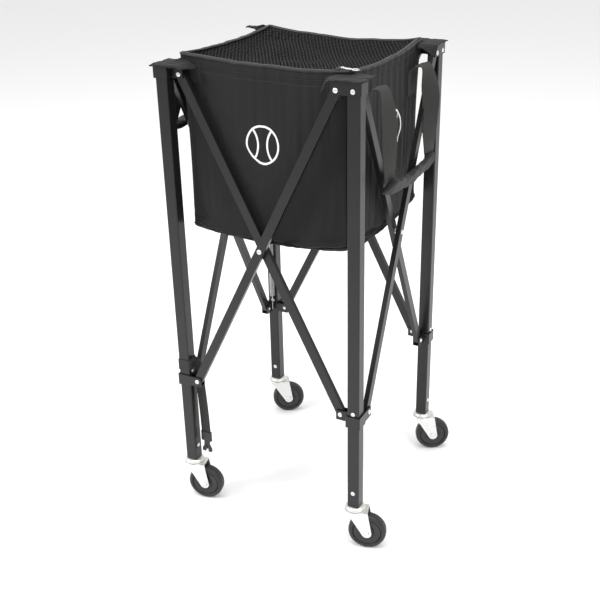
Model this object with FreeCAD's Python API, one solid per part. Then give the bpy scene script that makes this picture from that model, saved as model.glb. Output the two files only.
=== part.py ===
"""Folding four-leg ball basket cart on casters, in millimetres, +Z up, front towards -Y.

Four square legs are joined by four scissor pairs.  Each pair has an outer bar and an inner bar:
the upper pivots sit on brackets riveted to the leg tops, the lower ones on collars that slide on
the legs.  A fabric basket hangs between the legs.  The corners repeat every quarter turn, so each
piece is drawn once for the front-right corner and turned into place.
"""
import FreeCAD, Part
import math
import os

V = FreeCAD.Vector

# ---- driving dimensions -------------------------------------------------------------------
LEG_SPACING = 392.0            # centre to centre, frame open
FOLD_SPACING = 100.0           # centre to centre, frame folded
LEG_SIZE, LEG_WALL, LEG_ROUND = 25.0, 1.5, 2.5
LEG_TOP = 866.0                # above the leg's lower end
BRACKET_SIZE, BRACKET_LOW, BRACKET_TOP = 31.0, 845.4, 868.0
COLLAR_LOW, COLLAR_TOP, COLLAR_BORE = 188.0, 213.0, 26.0
PIVOT_OFF = 32.4               # pivot to leg centre, along the side
PIVOT_TOP, PIVOT_LOW = 853.0, 204.0
PLATE = 2.5                    # ear plate thickness
BAR_WIDE, BAR_THICK, BAR_WALL = 18.0, 10.0, 1.2
OUTER_D, INNER_D = -7.5, 6.0   # bar mid-plane, inwards from the leg centre plane
PIN_D, PIN_HOLE = 6.0, 6.1
FIX_D = 4.8
STOP_Z, CASTER_RIVET_Z = 218.5, 31.0
FLOOR_DROP = 103.0             # floor below the leg's lower end
WHEEL_D, WHEEL_WIDE = 79.0, 24.0
AXLE_D, AXLE_HOLE = 8.0, 8.1
STEM_D, STEM_HOLE = 10.0, 10.1
TRAIL = 25.6                   # wheel behind its stem
TRAIL_TURN = {"fr": 15.6, "br": 29.1, "bl": 30.9, "fl": 11.0}   # where each wheel trails at rest, from +X
BAG_HALF, BAG_LOW, BAG_RIM, CLOTH = 174.0, 550.0, 872.0, 2.0
LID_Z, HEM = 874.0, 5.0
HANDLE_X, HANDLE_Z = 178.0, 838.0
SPRING_D, SPRING_WIRE = 12.0, 1.6
SHIFT_X, SHIFT_Y = -10.05, -9.33  # moves the box's middle to the origin

HS = LEG_SPACING / 2
SPAN = LEG_SPACING - 2 * PIVOT_OFF
DROP = PIVOT_TOP - PIVOT_LOW
BAR_LONG = math.hypot(SPAN, DROP)
OPEN_ANGLE = math.atan2(SPAN, DROP)
FOLD_ANGLE = math.asin((FOLD_SPACING - 2 * PIVOT_OFF) / BAR_LONG)
CENTRE_Z = (PIVOT_TOP + PIVOT_LOW) / 2
CORNERS = {"fr": 0, "br": 90, "bl": 180, "fl": 270}
SIDES = {"front": 0, "right": 90, "back": 180, "left": 270}


# ---- small shapes ---------------------------------------------------------------------------
def box(x0, x1, y0, y1, z0, z1):
    return Part.makeBox(x1 - x0, y1 - y0, z1 - z0, V(x0, y0, z0))


def rod(radius, start, end):
    start, end = V(*start), V(*end)
    return Part.makeCylinder(radius, (end - start).Length, start, end - start)


def prism(points, direction):
    """A polygon given by its corners, pushed along a direction."""
    ring = [V(*p) for p in points]
    return Part.Face(Part.makePolygon(ring + ring[:1])).extrude(V(*direction))


def lathe(profile):
    """(radius, height) corners turned about Z."""
    ring = [V(r, 0, z) for r, z in profile]
    return Part.Face(Part.makePolygon(ring + ring[:1])).revolve(V(0, 0, 0), V(0, 0, 1), 360)


def rounded_square(size, radius, z0, z1):
    half = size / 2
    solid = box(-half, half, -half, half, z0, z1)
    upright = [e for e in solid.Edges if abs(e.BoundBox.ZLength - (z1 - z0)) < 1e-6]
    return solid.makeFillet(radius, upright)


def join(*shapes):
    return shapes[0].multiFuse(list(shapes[1:])).removeSplitter()


def head(radius, high, at, axis):
    """A low domed rivet head on a face at `at`, standing out along `axis`."""
    at, axis = V(*at), V(*axis)
    dome = Part.makeCone(radius, radius * 0.62, high * 0.6, V(0, 0, high * 0.4))
    solid = Part.makeCylinder(radius, high * 0.4).fuse(dome).removeSplitter()
    solid.Placement = FreeCAD.Placement(at, FreeCAD.Rotation(V(0, 0, 1), axis))
    return solid


def turned(shape, degrees, x=0.0, y=0.0):
    """Turn about Z, then move; used to carry front-right and front pieces around the frame."""
    out = shape.copy()
    out.rotate(V(0, 0, 0), V(0, 0, 1), degrees)
    out.translate(V(x, y, 0))
    return out


def corner_xy(name):
    a = math.radians(CORNERS[name])
    return (HS * (math.cos(a) + math.sin(a)), HS * (math.sin(a) - math.cos(a)))


def at_corner(shape, name):
    return turned(shape, CORNERS[name], *corner_xy(name))


def at_side(shape, name):
    return turned(shape, SIDES[name])


# ---- one corner, drawn about the front-right leg's centre -------------------------------------
def leg():
    tube = rounded_square(LEG_SIZE, LEG_ROUND, 0, LEG_TOP)
    inner = rounded_square(LEG_SIZE - 2 * LEG_WALL, LEG_ROUND - LEG_WALL, -1, LEG_TOP + 1)
    tube = tube.cut(inner)
    for z, end in ((PIVOT_TOP, 0), (STOP_Z, 30), (CASTER_RIVET_Z, 30)):
        tube = tube.cut(rod(FIX_D / 2, (0, -30, z), (0, end, z)))
    return tube


def ear(slot_mid, z0, z1, pivot_z, cap_at):
    """Two plates of a clevis reaching towards -X, with a cross web at the end named by cap_at."""
    half, wall, end = BRACKET_SIZE / 2, (BAR_THICK + 1.0) / 2, PIVOT_OFF + BAR_WIDE / 2
    plates = [box(-end, -half + 2, slot_mid - wall - PLATE, slot_mid - wall, z0, z1),
              box(-end, -half + 2, slot_mid + wall, slot_mid + wall + PLATE, z0, z1),
              box(-end, -half + 2, slot_mid - wall - PLATE, slot_mid + wall + PLATE,
                  cap_at, cap_at + 2)]
    body = join(*plates)
    corners = [e for e in body.Edges
               if e.BoundBox.YLength > 2 and abs(e.BoundBox.XMin + end) < 1e-6
               and e.BoundBox.ZLength < 1e-6]
    body = body.makeFillet(1.5, corners)
    return body.cut(rod(PIN_D / 2, (-PIVOT_OFF, -30, pivot_z), (-PIVOT_OFF, 30, pivot_z)))



def other_side(shape):
    """Swap (x, y) for (-y, -x): -X reach becomes +Y reach, and the -Y face the +X face."""
    return shape.mirror(V(0, 0, 0), V(1, 1, 0))


def bracket():
    half = BRACKET_SIZE / 2
    cap = rounded_square(BRACKET_SIZE, 2.0, BRACKET_LOW, BRACKET_TOP)
    cap = cap.cut(box(-12.5, 12.5, -12.5, 12.5, BRACKET_LOW - 1, LEG_TOP))
    outer = ear(OUTER_D, BRACKET_LOW, BRACKET_TOP, PIVOT_TOP, BRACKET_TOP - 2)
    inner = other_side(ear(INNER_D, BRACKET_LOW, BRACKET_TOP, PIVOT_TOP, BRACKET_TOP - 2))
    ears = [e.cut(box(-12.5, 12.5, -12.5, 12.5, 800, LEG_TOP)) for e in (outer, inner)]
    whole = join(cap, *ears)
    return whole.cut(rod(FIX_D / 2, (0, -half - 5, PIVOT_TOP), (0, 0, PIVOT_TOP)))


def collar():
    bore = COLLAR_BORE / 2
    ring = rounded_square(BRACKET_SIZE, 2.0, COLLAR_LOW, COLLAR_TOP)
    inner = ear(INNER_D, COLLAR_LOW + 4, COLLAR_TOP, PIVOT_LOW, COLLAR_LOW + 4)
    outer = other_side(ear(OUTER_D, COLLAR_LOW + 4, COLLAR_TOP, PIVOT_LOW, COLLAR_LOW + 4))
    whole = join(ring, inner, outer)
    hole = rounded_square(2 * bore, LEG_ROUND, COLLAR_LOW - 1, COLLAR_TOP + 1)
    return whole.cut(hole)


def pivot_pin(slot_mid, z):
    """Rivet through an ear's two plates."""
    wall = (BAR_THICK + 1.0) / 2 + PLATE
    y0, y1 = slot_mid - wall, slot_mid + wall
    return join(rod(PIN_D / 2, (-PIVOT_OFF, y0, z), (-PIVOT_OFF, y1, z)),
                head(5.0, 2.2, (-PIVOT_OFF, y0, z), (0, -1, 0)),
                head(4.0, 1.4, (-PIVOT_OFF, y1, z), (0, 1, 0)))


def through_rivet(reach, z):
    """Rivet right through the leg, with a head on each face at `reach` from its centre."""
    return join(rod(FIX_D / 2, (0, -reach, z), (0, reach, z)),
                head(4.5, 2.0, (0, -reach, z), (0, -1, 0)), head(4.5, 2.0, (0, reach, z), (0, 1, 0)))


def bracket_rivet():
    """Blind rivet through the bracket's outer face and the leg's wall."""
    face = BRACKET_SIZE / 2
    return join(rod(FIX_D / 2, (0, -face, PIVOT_TOP), (0, -LEG_SIZE / 2 + 4, PIVOT_TOP)),
                head(4.5, 2.0, (0, -face, PIVOT_TOP), (0, -1, 0)))


def leg_rivets():
    parts = [bracket_rivet(), through_rivet(LEG_SIZE / 2, STOP_Z),
             through_rivet(LEG_SIZE / 2, CASTER_RIVET_Z), pivot_pin(OUTER_D, PIVOT_TOP),
             other_side(pivot_pin(INNER_D, PIVOT_TOP))]
    return Part.makeCompound(parts)


def collar_rivets():
    return Part.makeCompound([pivot_pin(INNER_D, PIVOT_LOW),
                              other_side(pivot_pin(OUTER_D, PIVOT_LOW))])


def corner_flap():
    """Cloth flap of the basket, lying on the bracket and reaching to the basket's rim."""
    z = BRACKET_TOP + 0.2
    ring = [(17, -17.4), (17, 48), (-17.5, 62), (-18.5, 18.5), (-62, 17.5), (-60, -17.4)]
    tongue = [(-60, -17.4, z + 1), (-47, -17.4, z + 1), (-49, -17.4, 850), (-58, -17.4, 850)]
    return join(prism([(x, y, z) for x, y in ring], (0, 0, 1.8)), prism(tongue, (0, 1.6, 0)))


# ---- caster, drawn about the stem axis with the wheel trailing towards +X ---------------------
WHEEL_Z = WHEEL_D / 2 - FLOOR_DROP


def caster_socket():
    """Plug in the leg's end, stem, and the fixed upper race of the swivel."""
    inner = LEG_SIZE - 2 * LEG_WALL
    plug = rounded_square(inner, LEG_ROUND - LEG_WALL, 0, 44)
    plug = plug.cut(rod(FIX_D / 2, (0, -15, CASTER_RIVET_Z), (0, 15, CASTER_RIVET_Z)))
    flange = rounded_square(LEG_SIZE, LEG_ROUND, -2.5, 0)
    race = lathe([(0, -2.5), (13, -2.5), (20.5, -6.0), (21, -9.6), (0, -9.6)])
    stem = lathe([(0, -9.6), (STEM_D / 2, -9.6), (STEM_D / 2, -14.6), (8, -14.6),
                  (7.2, -17.4), (0, -17.4)])
    return join(plug, flange, race, stem)


def fork():
    """Crown with the lower race, two tapering cheeks, and the riveted axle between them."""
    crown = lathe([(STEM_HOLE / 2, -10.2), (22.5, -10.2), (22.5, -12.2), (19, -14.2),
                   (STEM_HOLE / 2, -14.2)])
    gap, thick = WHEEL_WIDE / 2 + 1.6, 2.2
    bridge = box(-18, 28, -gap - thick, gap + thick, -14.2, -12.0)
    bridge = bridge.cut(rod(STEM_HOLE / 2, (0, 0, -20), (0, 0, -5)))
    y, end = -gap - thick, 10.2
    cheek = prism([(-18, y, -12.0), (28, y, -12.0), (TRAIL + end, y, WHEEL_Z + 2),
                   (TRAIL + end - 1, y, WHEEL_Z - 4.3), (TRAIL + 5, y, WHEEL_Z - 8.9), (TRAIL, y, WHEEL_Z - end),
                   (TRAIL - 5, y, WHEEL_Z - 8.9), (TRAIL - 8.5, y, WHEEL_Z - 5.6), (-18, y, -18.0)],
                  (0, thick, 0))
    far = cheek.copy()
    far.translate(V(0, 2 * gap + thick, 0))
    axle = rod(AXLE_D / 2, (TRAIL, -gap - thick, WHEEL_Z), (TRAIL, gap + thick, WHEEL_Z))
    ends = [head(6.5, 3.2, (TRAIL, s * (gap + thick), WHEEL_Z), (0, s, 0)) for s in (-1, 1)]
    return join(crown, bridge, cheek, far, axle, *ends)


def wheel():
    half, rim = WHEEL_WIDE / 2, WHEEL_D / 2
    side = [(AXLE_HOLE / 2, half + 1.2), (9.5, half + 1.2), (10.5, half - 3.5), (26, half - 3.5),
            (28.5, half - 0.6), (rim - 4, half - 0.6), (rim - 1, half - 3.2), (rim, half - 7)]
    disc = lathe(side + [(r, -z) for r, z in reversed(side)])
    disc.rotate(V(0, 0, 0), V(1, 0, 0), 90)
    disc.translate(V(TRAIL, 0, WHEEL_Z))
    return disc


def caster_at(shape, name):
    return turned(shape, TRAIL_TURN[name], *corner_xy(name))


# ---- scissor bars, drawn for the front side ---------------------------------------------------
def bar(depth, lean):
    """Tube from pivot to pivot; lean +1 rises towards +X, -1 towards -X."""
    mid, half, long = -HS + depth, BAR_THICK / 2, BAR_LONG / 2
    body = join(box(-BAR_WIDE / 2, BAR_WIDE / 2, mid - half, mid + half, -long, long),
                *[rod(BAR_WIDE / 2, (0, mid - half, s * long), (0, mid + half, s * long))
                  for s in (-1, 1)])
    in_x, in_y = BAR_WIDE / 2 - BAR_WALL, half - BAR_WALL
    body = body.cut(box(-in_x, in_x, mid - in_y, mid + in_y, -long - 20, long + 20))
    for s in (-1, 0, 1):
        body = body.cut(rod(PIN_HOLE / 2, (0, mid - 9, s * long), (0, mid + 9, s * long)))
    body.rotate(V(0, 0, 0), V(0, 1, 0), lean * math.degrees(OPEN_ANGLE))
    body.translate(V(0, 0, CENTRE_Z))
    return body


def centre_rivet():
    """Rivet through both bars where they cross, with the spacer that keeps them apart."""
    y0 = -HS + OUTER_D - BAR_THICK / 2 - 0.2
    y1 = -HS + INNER_D + BAR_THICK / 2 + 0.2
    gap0 = -HS + OUTER_D + BAR_THICK / 2 + 0.25
    gap1 = -HS + INNER_D - BAR_THICK / 2 - 0.25
    parts = join(rod(PIN_D / 2, (0, y0, 0), (0, y1, 0)), rod(7.0, (0, gap0, 0), (0, gap1, 0)),
                 head(5.0, 2.2, (0, y0, 0), (0, -1, 0)), head(4.5, 1.6, (0, y1, 0), (0, 1, 0)))
    parts.translate(V(0, 0, CENTRE_Z))
    return parts


# ---- basket -------------------------------------------------------------------------------------
def bag_wall():
    """One wall of the basket with its rolled rim band; each wall covers one corner."""
    end = BAG_HALF - CLOTH - 0.3
    sheet = box(-BAG_HALF, end, -BAG_HALF, -BAG_HALF + CLOTH, BAG_LOW, BAG_RIM)
    band = box(-BAG_HALF, end, -BAG_HALF - 1.5, -BAG_HALF + CLOTH, BAG_RIM - 14, BAG_RIM)
    return join(sheet, band)


def bag_floor():
    half = BAG_HALF - CLOTH - 0.3
    return box(-half, half, -half, half, BAG_LOW, BAG_LOW + 2.5)


def lid_hem():
    """Strip along the back rim that the lid is sewn to."""
    half = BAG_HALF - CLOTH
    return box(-half, half, half - HEM, half, LID_Z, LID_Z + CLOTH)


def net_lid():
    half = BAG_HALF - CLOTH
    return box(-half, half, -half, half - HEM - 0.3, LID_Z, LID_Z + CLOTH)


def handle(grip_z, flat, shift):
    """Carrying handle of the right wall: two webbing straps and a padded grip.

    grip_z is the grip's middle height, flat says that it lies on its broad side, and shift is
    how far the whole handle sits towards +Y.
    """
    wide, thick, low = 38.0, 2.5, grip_z - (4 if flat else 2)
    path = [(HANDLE_X - 1.5, HANDLE_Z + 6), (HANDLE_X + 10, HANDLE_Z + 5), (HANDLE_X + 32, HANDLE_Z - 12),
            (HANDLE_X + 38, HANDLE_Z - 40), (HANDLE_X + 38, low)]
    outline = path + [(x + (thick if k else 0), z + (0 if k > 2 else thick))
                      for k, (x, z) in reversed(list(enumerate(path)))]
    straps = [prism([(x, y - wide / 2, z) for x, z in outline], (0, wide, 0)) for y in (shift - 104.0, 115.0)]
    x0, deep, high = (HANDLE_X + 34, 28, 15) if flat else (HANDLE_X + 34, 12, 33)
    grip = box(x0, x0 + deep, shift - 126, shift + 138, grip_z - high / 2, grip_z + high / 2)
    grip = grip.makeFillet(4.0, [e for e in grip.Edges if e.BoundBox.YLength > 100])
    return join(grip, *straps)


def zip_pull():
    """Slider on the lid's zip at the front-right corner, with its pull lying to the right."""
    slider = box(146, 158, -176, -168, LID_Z + 2.4, LID_Z + 7)
    tongue = box(156, 186, -174.5, -169.5, LID_Z + 3.4, LID_Z + 5.4)
    return join(slider, tongue)


# ---- spring and storage strap ---------------------------------------------------------------------
SPRING_X, SPRING_Y = -HS + 4.5, HS - BRACKET_SIZE / 2 - 7.2
SPRING_LOW, SPRING_TOP = 236.0, 826.0


def wire_elbow(corner, *ends):
    """Two straight wires that meet at a small bead."""
    bead = Part.makeSphere(SPRING_WIRE / 2 + 0.3, V(*corner))
    return [bead] + [rod(SPRING_WIRE / 2, corner, end) for end in ends]


def opening_spring():
    """Close-wound extension spring in front of the back-left leg, with its upper hook."""
    r, wire = SPRING_D / 2, SPRING_WIRE
    x, y = SPRING_X, SPRING_Y
    coil = rod(r, (x, y, SPRING_LOW), (x, y, SPRING_TOP)).cut(
        rod(r - wire, (x, y, SPRING_LOW - 1), (x, y, SPRING_TOP + 1)))
    y += r - wire / 2
    return join(coil, *wire_elbow((x, y, 838), (x, y, SPRING_TOP - 2), (x, HS - LEG_SIZE / 2, 838)))


def spring_hook():
    """Lower hook: fixed to the sliding collar, its long shank runs up inside the coil."""
    x, y, z = SPRING_X, SPRING_Y, 198
    return join(*wire_elbow((x, y, z), (x, y, 336), (x, HS - BRACKET_SIZE / 2, z)))


def storage_strap():
    """Webbing round the front-left leg above the collar, its tail ending in half a buckle."""
    x, y, t, half = -HS, -HS, 1.6, LEG_SIZE / 2
    ring = rounded_square(2 * (half + t), LEG_ROUND + 1, 225, 250).cut(
        rounded_square(LEG_SIZE, LEG_ROUND, 220, 260))
    ring.translate(V(x, y, 0))
    y0 = y + 5.5
    right = x + half + t
    tail = join(box(right - 0.4, right + 22, y0, y0 + t, 225, 250),
                prism([(right - 0.4, y0, 232), (right + 22.0, y0, 232), (right + 29.0, y0, 64),
                       (right + 6.0, y0, 64), (right + 2.4, y0, 216)], (0, t, 0)))
    mid = right + 17.6
    buckle = join(box(mid - 13, mid + 13, y0 - 3, y0 + 5, 41, 68),
                  box(mid - 6, mid + 6, y0 - 2, y0 + 4, 24, 43),
                  prism([(mid - 12, y0 - 2.5, 17), (mid + 12, y0 - 2.5, 17), (mid + 11, y0 - 2.5, 25),
                         (mid + 6, y0 - 2.5, 30), (mid - 6, y0 - 2.5, 30), (mid - 11, y0 - 2.5, 25)],
                        (0, 7, 0)))
    return join(ring, tail, buckle)


# ---- the whole cart ---------------------------------------------------------------------------------
def pieces():
    """Every node's shape, in the frame the parts are handed over in."""
    made = {}
    drawn = {"leg": leg(), "bracket": bracket(), "leg_rivets": leg_rivets(), "collar": collar(),
             "collar_rivets": collar_rivets(), "corner_flap": corner_flap()}
    caster = {"caster_socket": caster_socket(), "fork": fork(), "wheel": wheel()}
    for corner in CORNERS:
        for name, shape in drawn.items():
            made[f"{name}_{corner}"] = at_corner(shape, corner)
        made[f"caster_socket_{corner}"] = at_corner(caster["caster_socket"], corner)
        for name in ("fork", "wheel"):
            made[f"{name}_{corner}"] = caster_at(caster[name], corner)
    made["collar_rivets_bl"] = Part.makeCompound([made["collar_rivets_bl"], spring_hook()])
    sides = {"bar_outer": bar(OUTER_D, 1), "bar_inner": bar(INNER_D, -1),
             "centre_rivet": centre_rivet(), "bag_wall": bag_wall()}
    for side in SIDES:
        for name, shape in sides.items():
            made[f"{name}_{side}"] = at_side(shape, side)
    made["bag_floor"] = bag_floor()
    made["lid_hem"] = lid_hem()
    made["net_lid"] = net_lid()
    made["handle_right"] = handle(642.0, False, 0.0)
    made["handle_left"] = turned(handle(736.0, True, 20.0), 180)
    made["zip_pull"] = zip_pull()
    made["opening_spring"] = opening_spring()
    made["storage_strap"] = storage_strap()
    for shape in made.values():
        shape.translate(V(SHIFT_X, SHIFT_Y, FLOOR_DROP))
    return made


def write_parts(folder="parts"):
    os.makedirs(folder, exist_ok=True)
    for name, shape in pieces().items():
        shape.exportStep(os.path.join(folder, f"{name}.step"))


if __name__ == "__main__":
    write_parts()
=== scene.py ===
"""Folding ball basket cart: finishes, cloth and fittings over the CAD frame, with its room and lights.

Lengths named in millimetres are in the cart's own layout, with z counted from the legs' lower ends and
the middle of the four legs at x = y = 0.  `row` carries them to the shared frame in metres.
"""
import sys
import logging
import math
from dataclasses import dataclass, field
from enum import Enum
from typing import Callable, Iterable, Optional, Sequence, Union

import bpy
import numpy as np
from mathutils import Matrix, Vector


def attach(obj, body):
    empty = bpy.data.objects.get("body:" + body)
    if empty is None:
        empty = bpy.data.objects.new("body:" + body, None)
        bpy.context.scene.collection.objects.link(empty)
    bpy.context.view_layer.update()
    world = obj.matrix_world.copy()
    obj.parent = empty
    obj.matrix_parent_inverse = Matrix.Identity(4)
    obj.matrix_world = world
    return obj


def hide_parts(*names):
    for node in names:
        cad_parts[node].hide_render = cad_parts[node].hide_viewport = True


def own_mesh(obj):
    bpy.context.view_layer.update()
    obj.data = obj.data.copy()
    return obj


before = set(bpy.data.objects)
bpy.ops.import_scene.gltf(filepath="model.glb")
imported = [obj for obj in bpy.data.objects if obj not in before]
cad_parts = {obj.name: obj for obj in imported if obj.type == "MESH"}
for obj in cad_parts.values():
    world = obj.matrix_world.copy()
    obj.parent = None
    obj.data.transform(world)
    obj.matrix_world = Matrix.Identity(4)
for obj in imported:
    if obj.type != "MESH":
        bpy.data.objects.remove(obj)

log = logging.getLogger("ball_cart")
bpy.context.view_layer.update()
Array = np.ndarray
OFFSET = np.array((-10.05, -9.33, 103.0))
HALF_SPACING = 196.0


def row(points: Union[Array, Sequence[float]]) -> Array:
    """Carry layout points in mm to the shared frame: (p + offset) / 1000.

    Args:
        points: one point or an array of points whose last axis is x, y, z.

    Returns:
        The same points in metres.
    """
    return (np.asarray(points, float) + OFFSET) / 1000.0


class Corner(Enum):
    """The four legs, with the quarter turns from the front-right one."""

    FR = 0
    BR = 1
    BL = 2
    FL = 3

    @property
    def tag(self) -> str:
        """Short name used in the CAD nodes."""
        return self.name.lower()

    @property
    def body(self) -> str:
        """The leg's CAD body."""
        return {"FR": "leg_front_right", "BR": "leg_back_right",
                "BL": "leg_back_left", "FL": "leg_front_left"}[self.name]

    @property
    def centre(self) -> Array:
        """Leg centre in mm, on the plane of the legs' lower ends."""
        turn = math.pi / 2 * self.value
        return np.array((HALF_SPACING * (math.cos(turn) + math.sin(turn)),
                         HALF_SPACING * (math.sin(turn) - math.cos(turn)), 0.0))


class Side(Enum):
    """The cart's four sides, with the quarter turns from the front."""

    FRONT = 0
    RIGHT = 1
    BACK = 2
    LEFT = 3

    @property
    def tag(self) -> str:
        """Short name used in the CAD nodes."""
        return self.name.lower()


def turn(points: Array, quarters: float) -> Array:
    """Turn points about Z by quarters of a circle: (x cos - y sin, x sin + y cos).

    Args:
        points: array whose last axis is x, y, z.
        quarters: how many right angles, anticlockwise from above.

    Returns:
        The turned points.
    """
    a = math.pi / 2 * quarters
    p = np.asarray(points, float)
    return np.stack((p[..., 0] * math.cos(a) - p[..., 1] * math.sin(a),
                     p[..., 0] * math.sin(a) + p[..., 1] * math.cos(a), p[..., 2]), -1)


# ------------------------------------------------------------------------------------------------
# Shader graph
# ------------------------------------------------------------------------------------------------
class Signal:
    """A number coming out of a shader socket, usable in plain arithmetic."""

    def __init__(self, graph: "Graph", socket: bpy.types.NodeSocket) -> None:
        """Keep the graph and the socket the number comes from."""
        self.graph = graph
        self.socket = socket

    def _do(self, operation: str, *values: object) -> "Signal":
        """Add one Math node for the operation on the values."""
        return self.graph.math(operation, *values)

    def __add__(self, other: object) -> "Signal":
        """self + other."""
        return self._do("ADD", self, other)

    def __radd__(self, other: object) -> "Signal":
        """other + self."""
        return self._do("ADD", other, self)

    def __sub__(self, other: object) -> "Signal":
        """self - other."""
        return self._do("SUBTRACT", self, other)

    def __rsub__(self, other: object) -> "Signal":
        """other - self."""
        return self._do("SUBTRACT", other, self)

    def __mul__(self, other: object) -> "Signal":
        """self * other."""
        return self._do("MULTIPLY", self, other)

    def __rmul__(self, other: object) -> "Signal":
        """other * self."""
        return self._do("MULTIPLY", other, self)

    def __truediv__(self, other: object) -> "Signal":
        """self / other."""
        return self._do("DIVIDE", self, other)

    def __abs__(self) -> "Signal":
        """|self|."""
        return self._do("ABSOLUTE", self)

    def clamped(self) -> "Signal":
        """self held between 0 and 1."""
        return self._do("MINIMUM", self._do("MAXIMUM", self, 0.0), 1.0)

    def most(self, other: object) -> "Signal":
        """The larger of the two."""
        return self._do("MAXIMUM", self, other)

    def sin(self) -> "Signal":
        """Sine, in radians."""
        return self._do("SINE", self)

    def cos(self) -> "Signal":
        """Cosine, in radians."""
        return self._do("COSINE", self)

    def root(self) -> "Signal":
        """Square root."""
        return self._do("SQRT", self)


class Graph:
    """A material's node tree with its shader, built one node at a time."""

    def __init__(self, name: str, **constants: object) -> None:
        """Start a material whose shader sockets hold the constants.

        Args:
            name: the material's name.
            constants: shader socket names, with _ for spaces, and their values.
        """
        self.material = bpy.data.materials.new(name)
        self.material.use_nodes = True
        self.tree = self.material.node_tree
        self.tree.nodes.clear()
        self.output = self.tree.nodes.new("ShaderNodeOutputMaterial")
        self.shader = self.tree.nodes.new("ShaderNodeBsdfPrincipled")
        self.tree.links.new(self.shader.outputs[0], self.output.inputs["Surface"])
        for key, value in constants.items():
            self.shader.inputs[key.replace("_", " ")].default_value = value

    def node(self, kind: str, settings: Optional[dict] = None,
             inputs: Optional[dict] = None) -> bpy.types.Node:
        """Add a node, set its settings, then fill its sockets.

        Args:
            kind: the node type without its ShaderNode prefix.
            settings: attributes, with "stops" for a ramp's (place, colour) pairs.
            inputs: socket name or number to a value, a Signal or a socket.

        Returns:
            The new node.
        """
        made = self.tree.nodes.new("ShaderNode" + kind)
        for key, value in (settings or {}).items():
            if key == "stops":
                ramp = made.color_ramp.elements
                while len(ramp) < len(value):
                    ramp.new(0.5)
                for stop, (place, colour) in zip(ramp, value):
                    stop.position, stop.color = place, (*colour, 1.0)
            else:
                setattr(made, key, value)
        for key, value in (inputs or {}).items():
            self.feed(made.inputs[key], value)
        return made

    def feed(self, socket: bpy.types.NodeSocket, value: object) -> None:
        """Link or set one socket."""
        if isinstance(value, Signal):
            value = value.socket
        if isinstance(value, bpy.types.NodeSocket):
            self.tree.links.new(value, socket)
        else:
            socket.default_value = value

    def math(self, operation: str, *values: object) -> Signal:
        """One Math node as a Signal."""
        made = self.node("Math", {"operation": operation}, dict(enumerate(values)))
        return Signal(self, made.outputs[0])

    def noise(self, scale: float, detail: float = 2.0, rough: float = 0.5,
              stretch: Sequence[float] = (1.0, 1.0, 1.0), uv: bool = False) -> Signal:
        """Noise over the piece, 0 to 1.

        Args:
            scale: cells per metre.
            detail: octaves.
            rough: how strong the finer octaves are.
            stretch: scale along each axis.
            uv: True to follow the surface's own map in place of the piece's place.

        Returns:
            The noise value.
        """
        place = self.node("TexCoord").outputs["UV" if uv else "Object"]
        mapped = self.node("Mapping", None, {"Vector": place, "Scale": tuple(stretch)})
        made = self.node("TexNoise", None, {"Vector": mapped.outputs[0], "Scale": scale,
                                            "Detail": detail, "Roughness": rough})
        return Signal(self, made.outputs[0])

    def uv(self) -> tuple[Signal, Signal]:
        """The piece's own map, in metres, as two numbers."""
        parts = self.node("SeparateXYZ", None, {0: self.node("TexCoord").outputs["UV"]})
        return Signal(self, parts.outputs[0]), Signal(self, parts.outputs[1])

    def blend(self, share: object, first: object, second: object) -> bpy.types.NodeSocket:
        """A colour between first, at share 0, and second, at share 1."""
        made = self.node("Mix", {"data_type": "RGBA"})
        self.feed(made.inputs[0], share)
        for number, value in ((6, first), (7, second)):
            self.feed(made.inputs[number], value if isinstance(value, bpy.types.NodeSocket)
                      else (*value, 1.0))
        return made.outputs[2]

    def bump(self, height: Signal, distance: float, strength: float = 1.0) -> None:
        """Feed the shader's Normal from a height between 0 and 1."""
        made = self.node("Bump", None, {"Height": height, "Distance": distance, "Strength": strength})
        self.feed(self.shader.inputs["Normal"], made.outputs[0])

    def set(self, name: str, value: object) -> None:
        """Feed one of the shader's own sockets."""
        self.feed(self.shader.inputs[name], value)


Colour = tuple[float, float, float]


@dataclass(frozen=True)
class PowderCoat:
    """Satin black powder coat: orange peel, faint cloudiness and a little handling dust."""

    name: str = "powder_coat"
    colour: Colour = (0.0065, 0.0068, 0.0072)
    roughness: float = 0.26

    def material(self) -> bpy.types.Material:
        """Build the finish."""
        g = Graph(self.name, Specular_IOR_Level=0.42)
        cloud = g.noise(9.0, 3.0)
        rub = (g.noise(46.0, 5.0, 0.65, (1.0, 1.0, 0.16)) - 0.56) * 5.0
        rub = rub.clamped()
        peel = g.noise(1300.0, 2.0) * 0.7 + g.noise(3600.0, 1.0) * 0.3
        lighter = tuple(c * 2.0 + 0.004 for c in self.colour)
        g.set("Base Color", g.blend(cloud * 0.35 + rub * 0.3, self.colour, lighter))
        g.set("Roughness", self.roughness + cloud * 0.07 + rub * 0.09)
        g.bump(peel, 0.00006, 0.55)
        return g.material


@dataclass(frozen=True)
class Zinc:
    """Bright zinc plate: metal with a soft spangle and a faint warm and blue tint."""

    name: str = "zinc"
    colour: Colour = (0.78, 0.79, 0.78)
    warm: Colour = (0.76, 0.72, 0.60)
    roughness: float = 0.32

    def material(self) -> bpy.types.Material:
        """Build the finish."""
        g = Graph(self.name, Metallic=1.0)
        spangle = g.noise(260.0, 4.0, 0.6)
        tint = ((g.noise(60.0, 2.0) - 0.42) * 3.0).clamped()
        grime = ((g.noise(34.0, 5.0, 0.7) - 0.58) * 6.0).clamped()
        base = g.blend(tint * 0.5, self.colour, self.warm)
        g.set("Base Color", g.blend(grime * 0.22, base, (0.34, 0.32, 0.28)))
        g.set("Roughness", self.roughness + spangle * 0.16 + grime * 0.15)
        g.bump(spangle, 0.00005, 0.4)
        return g.material


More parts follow.
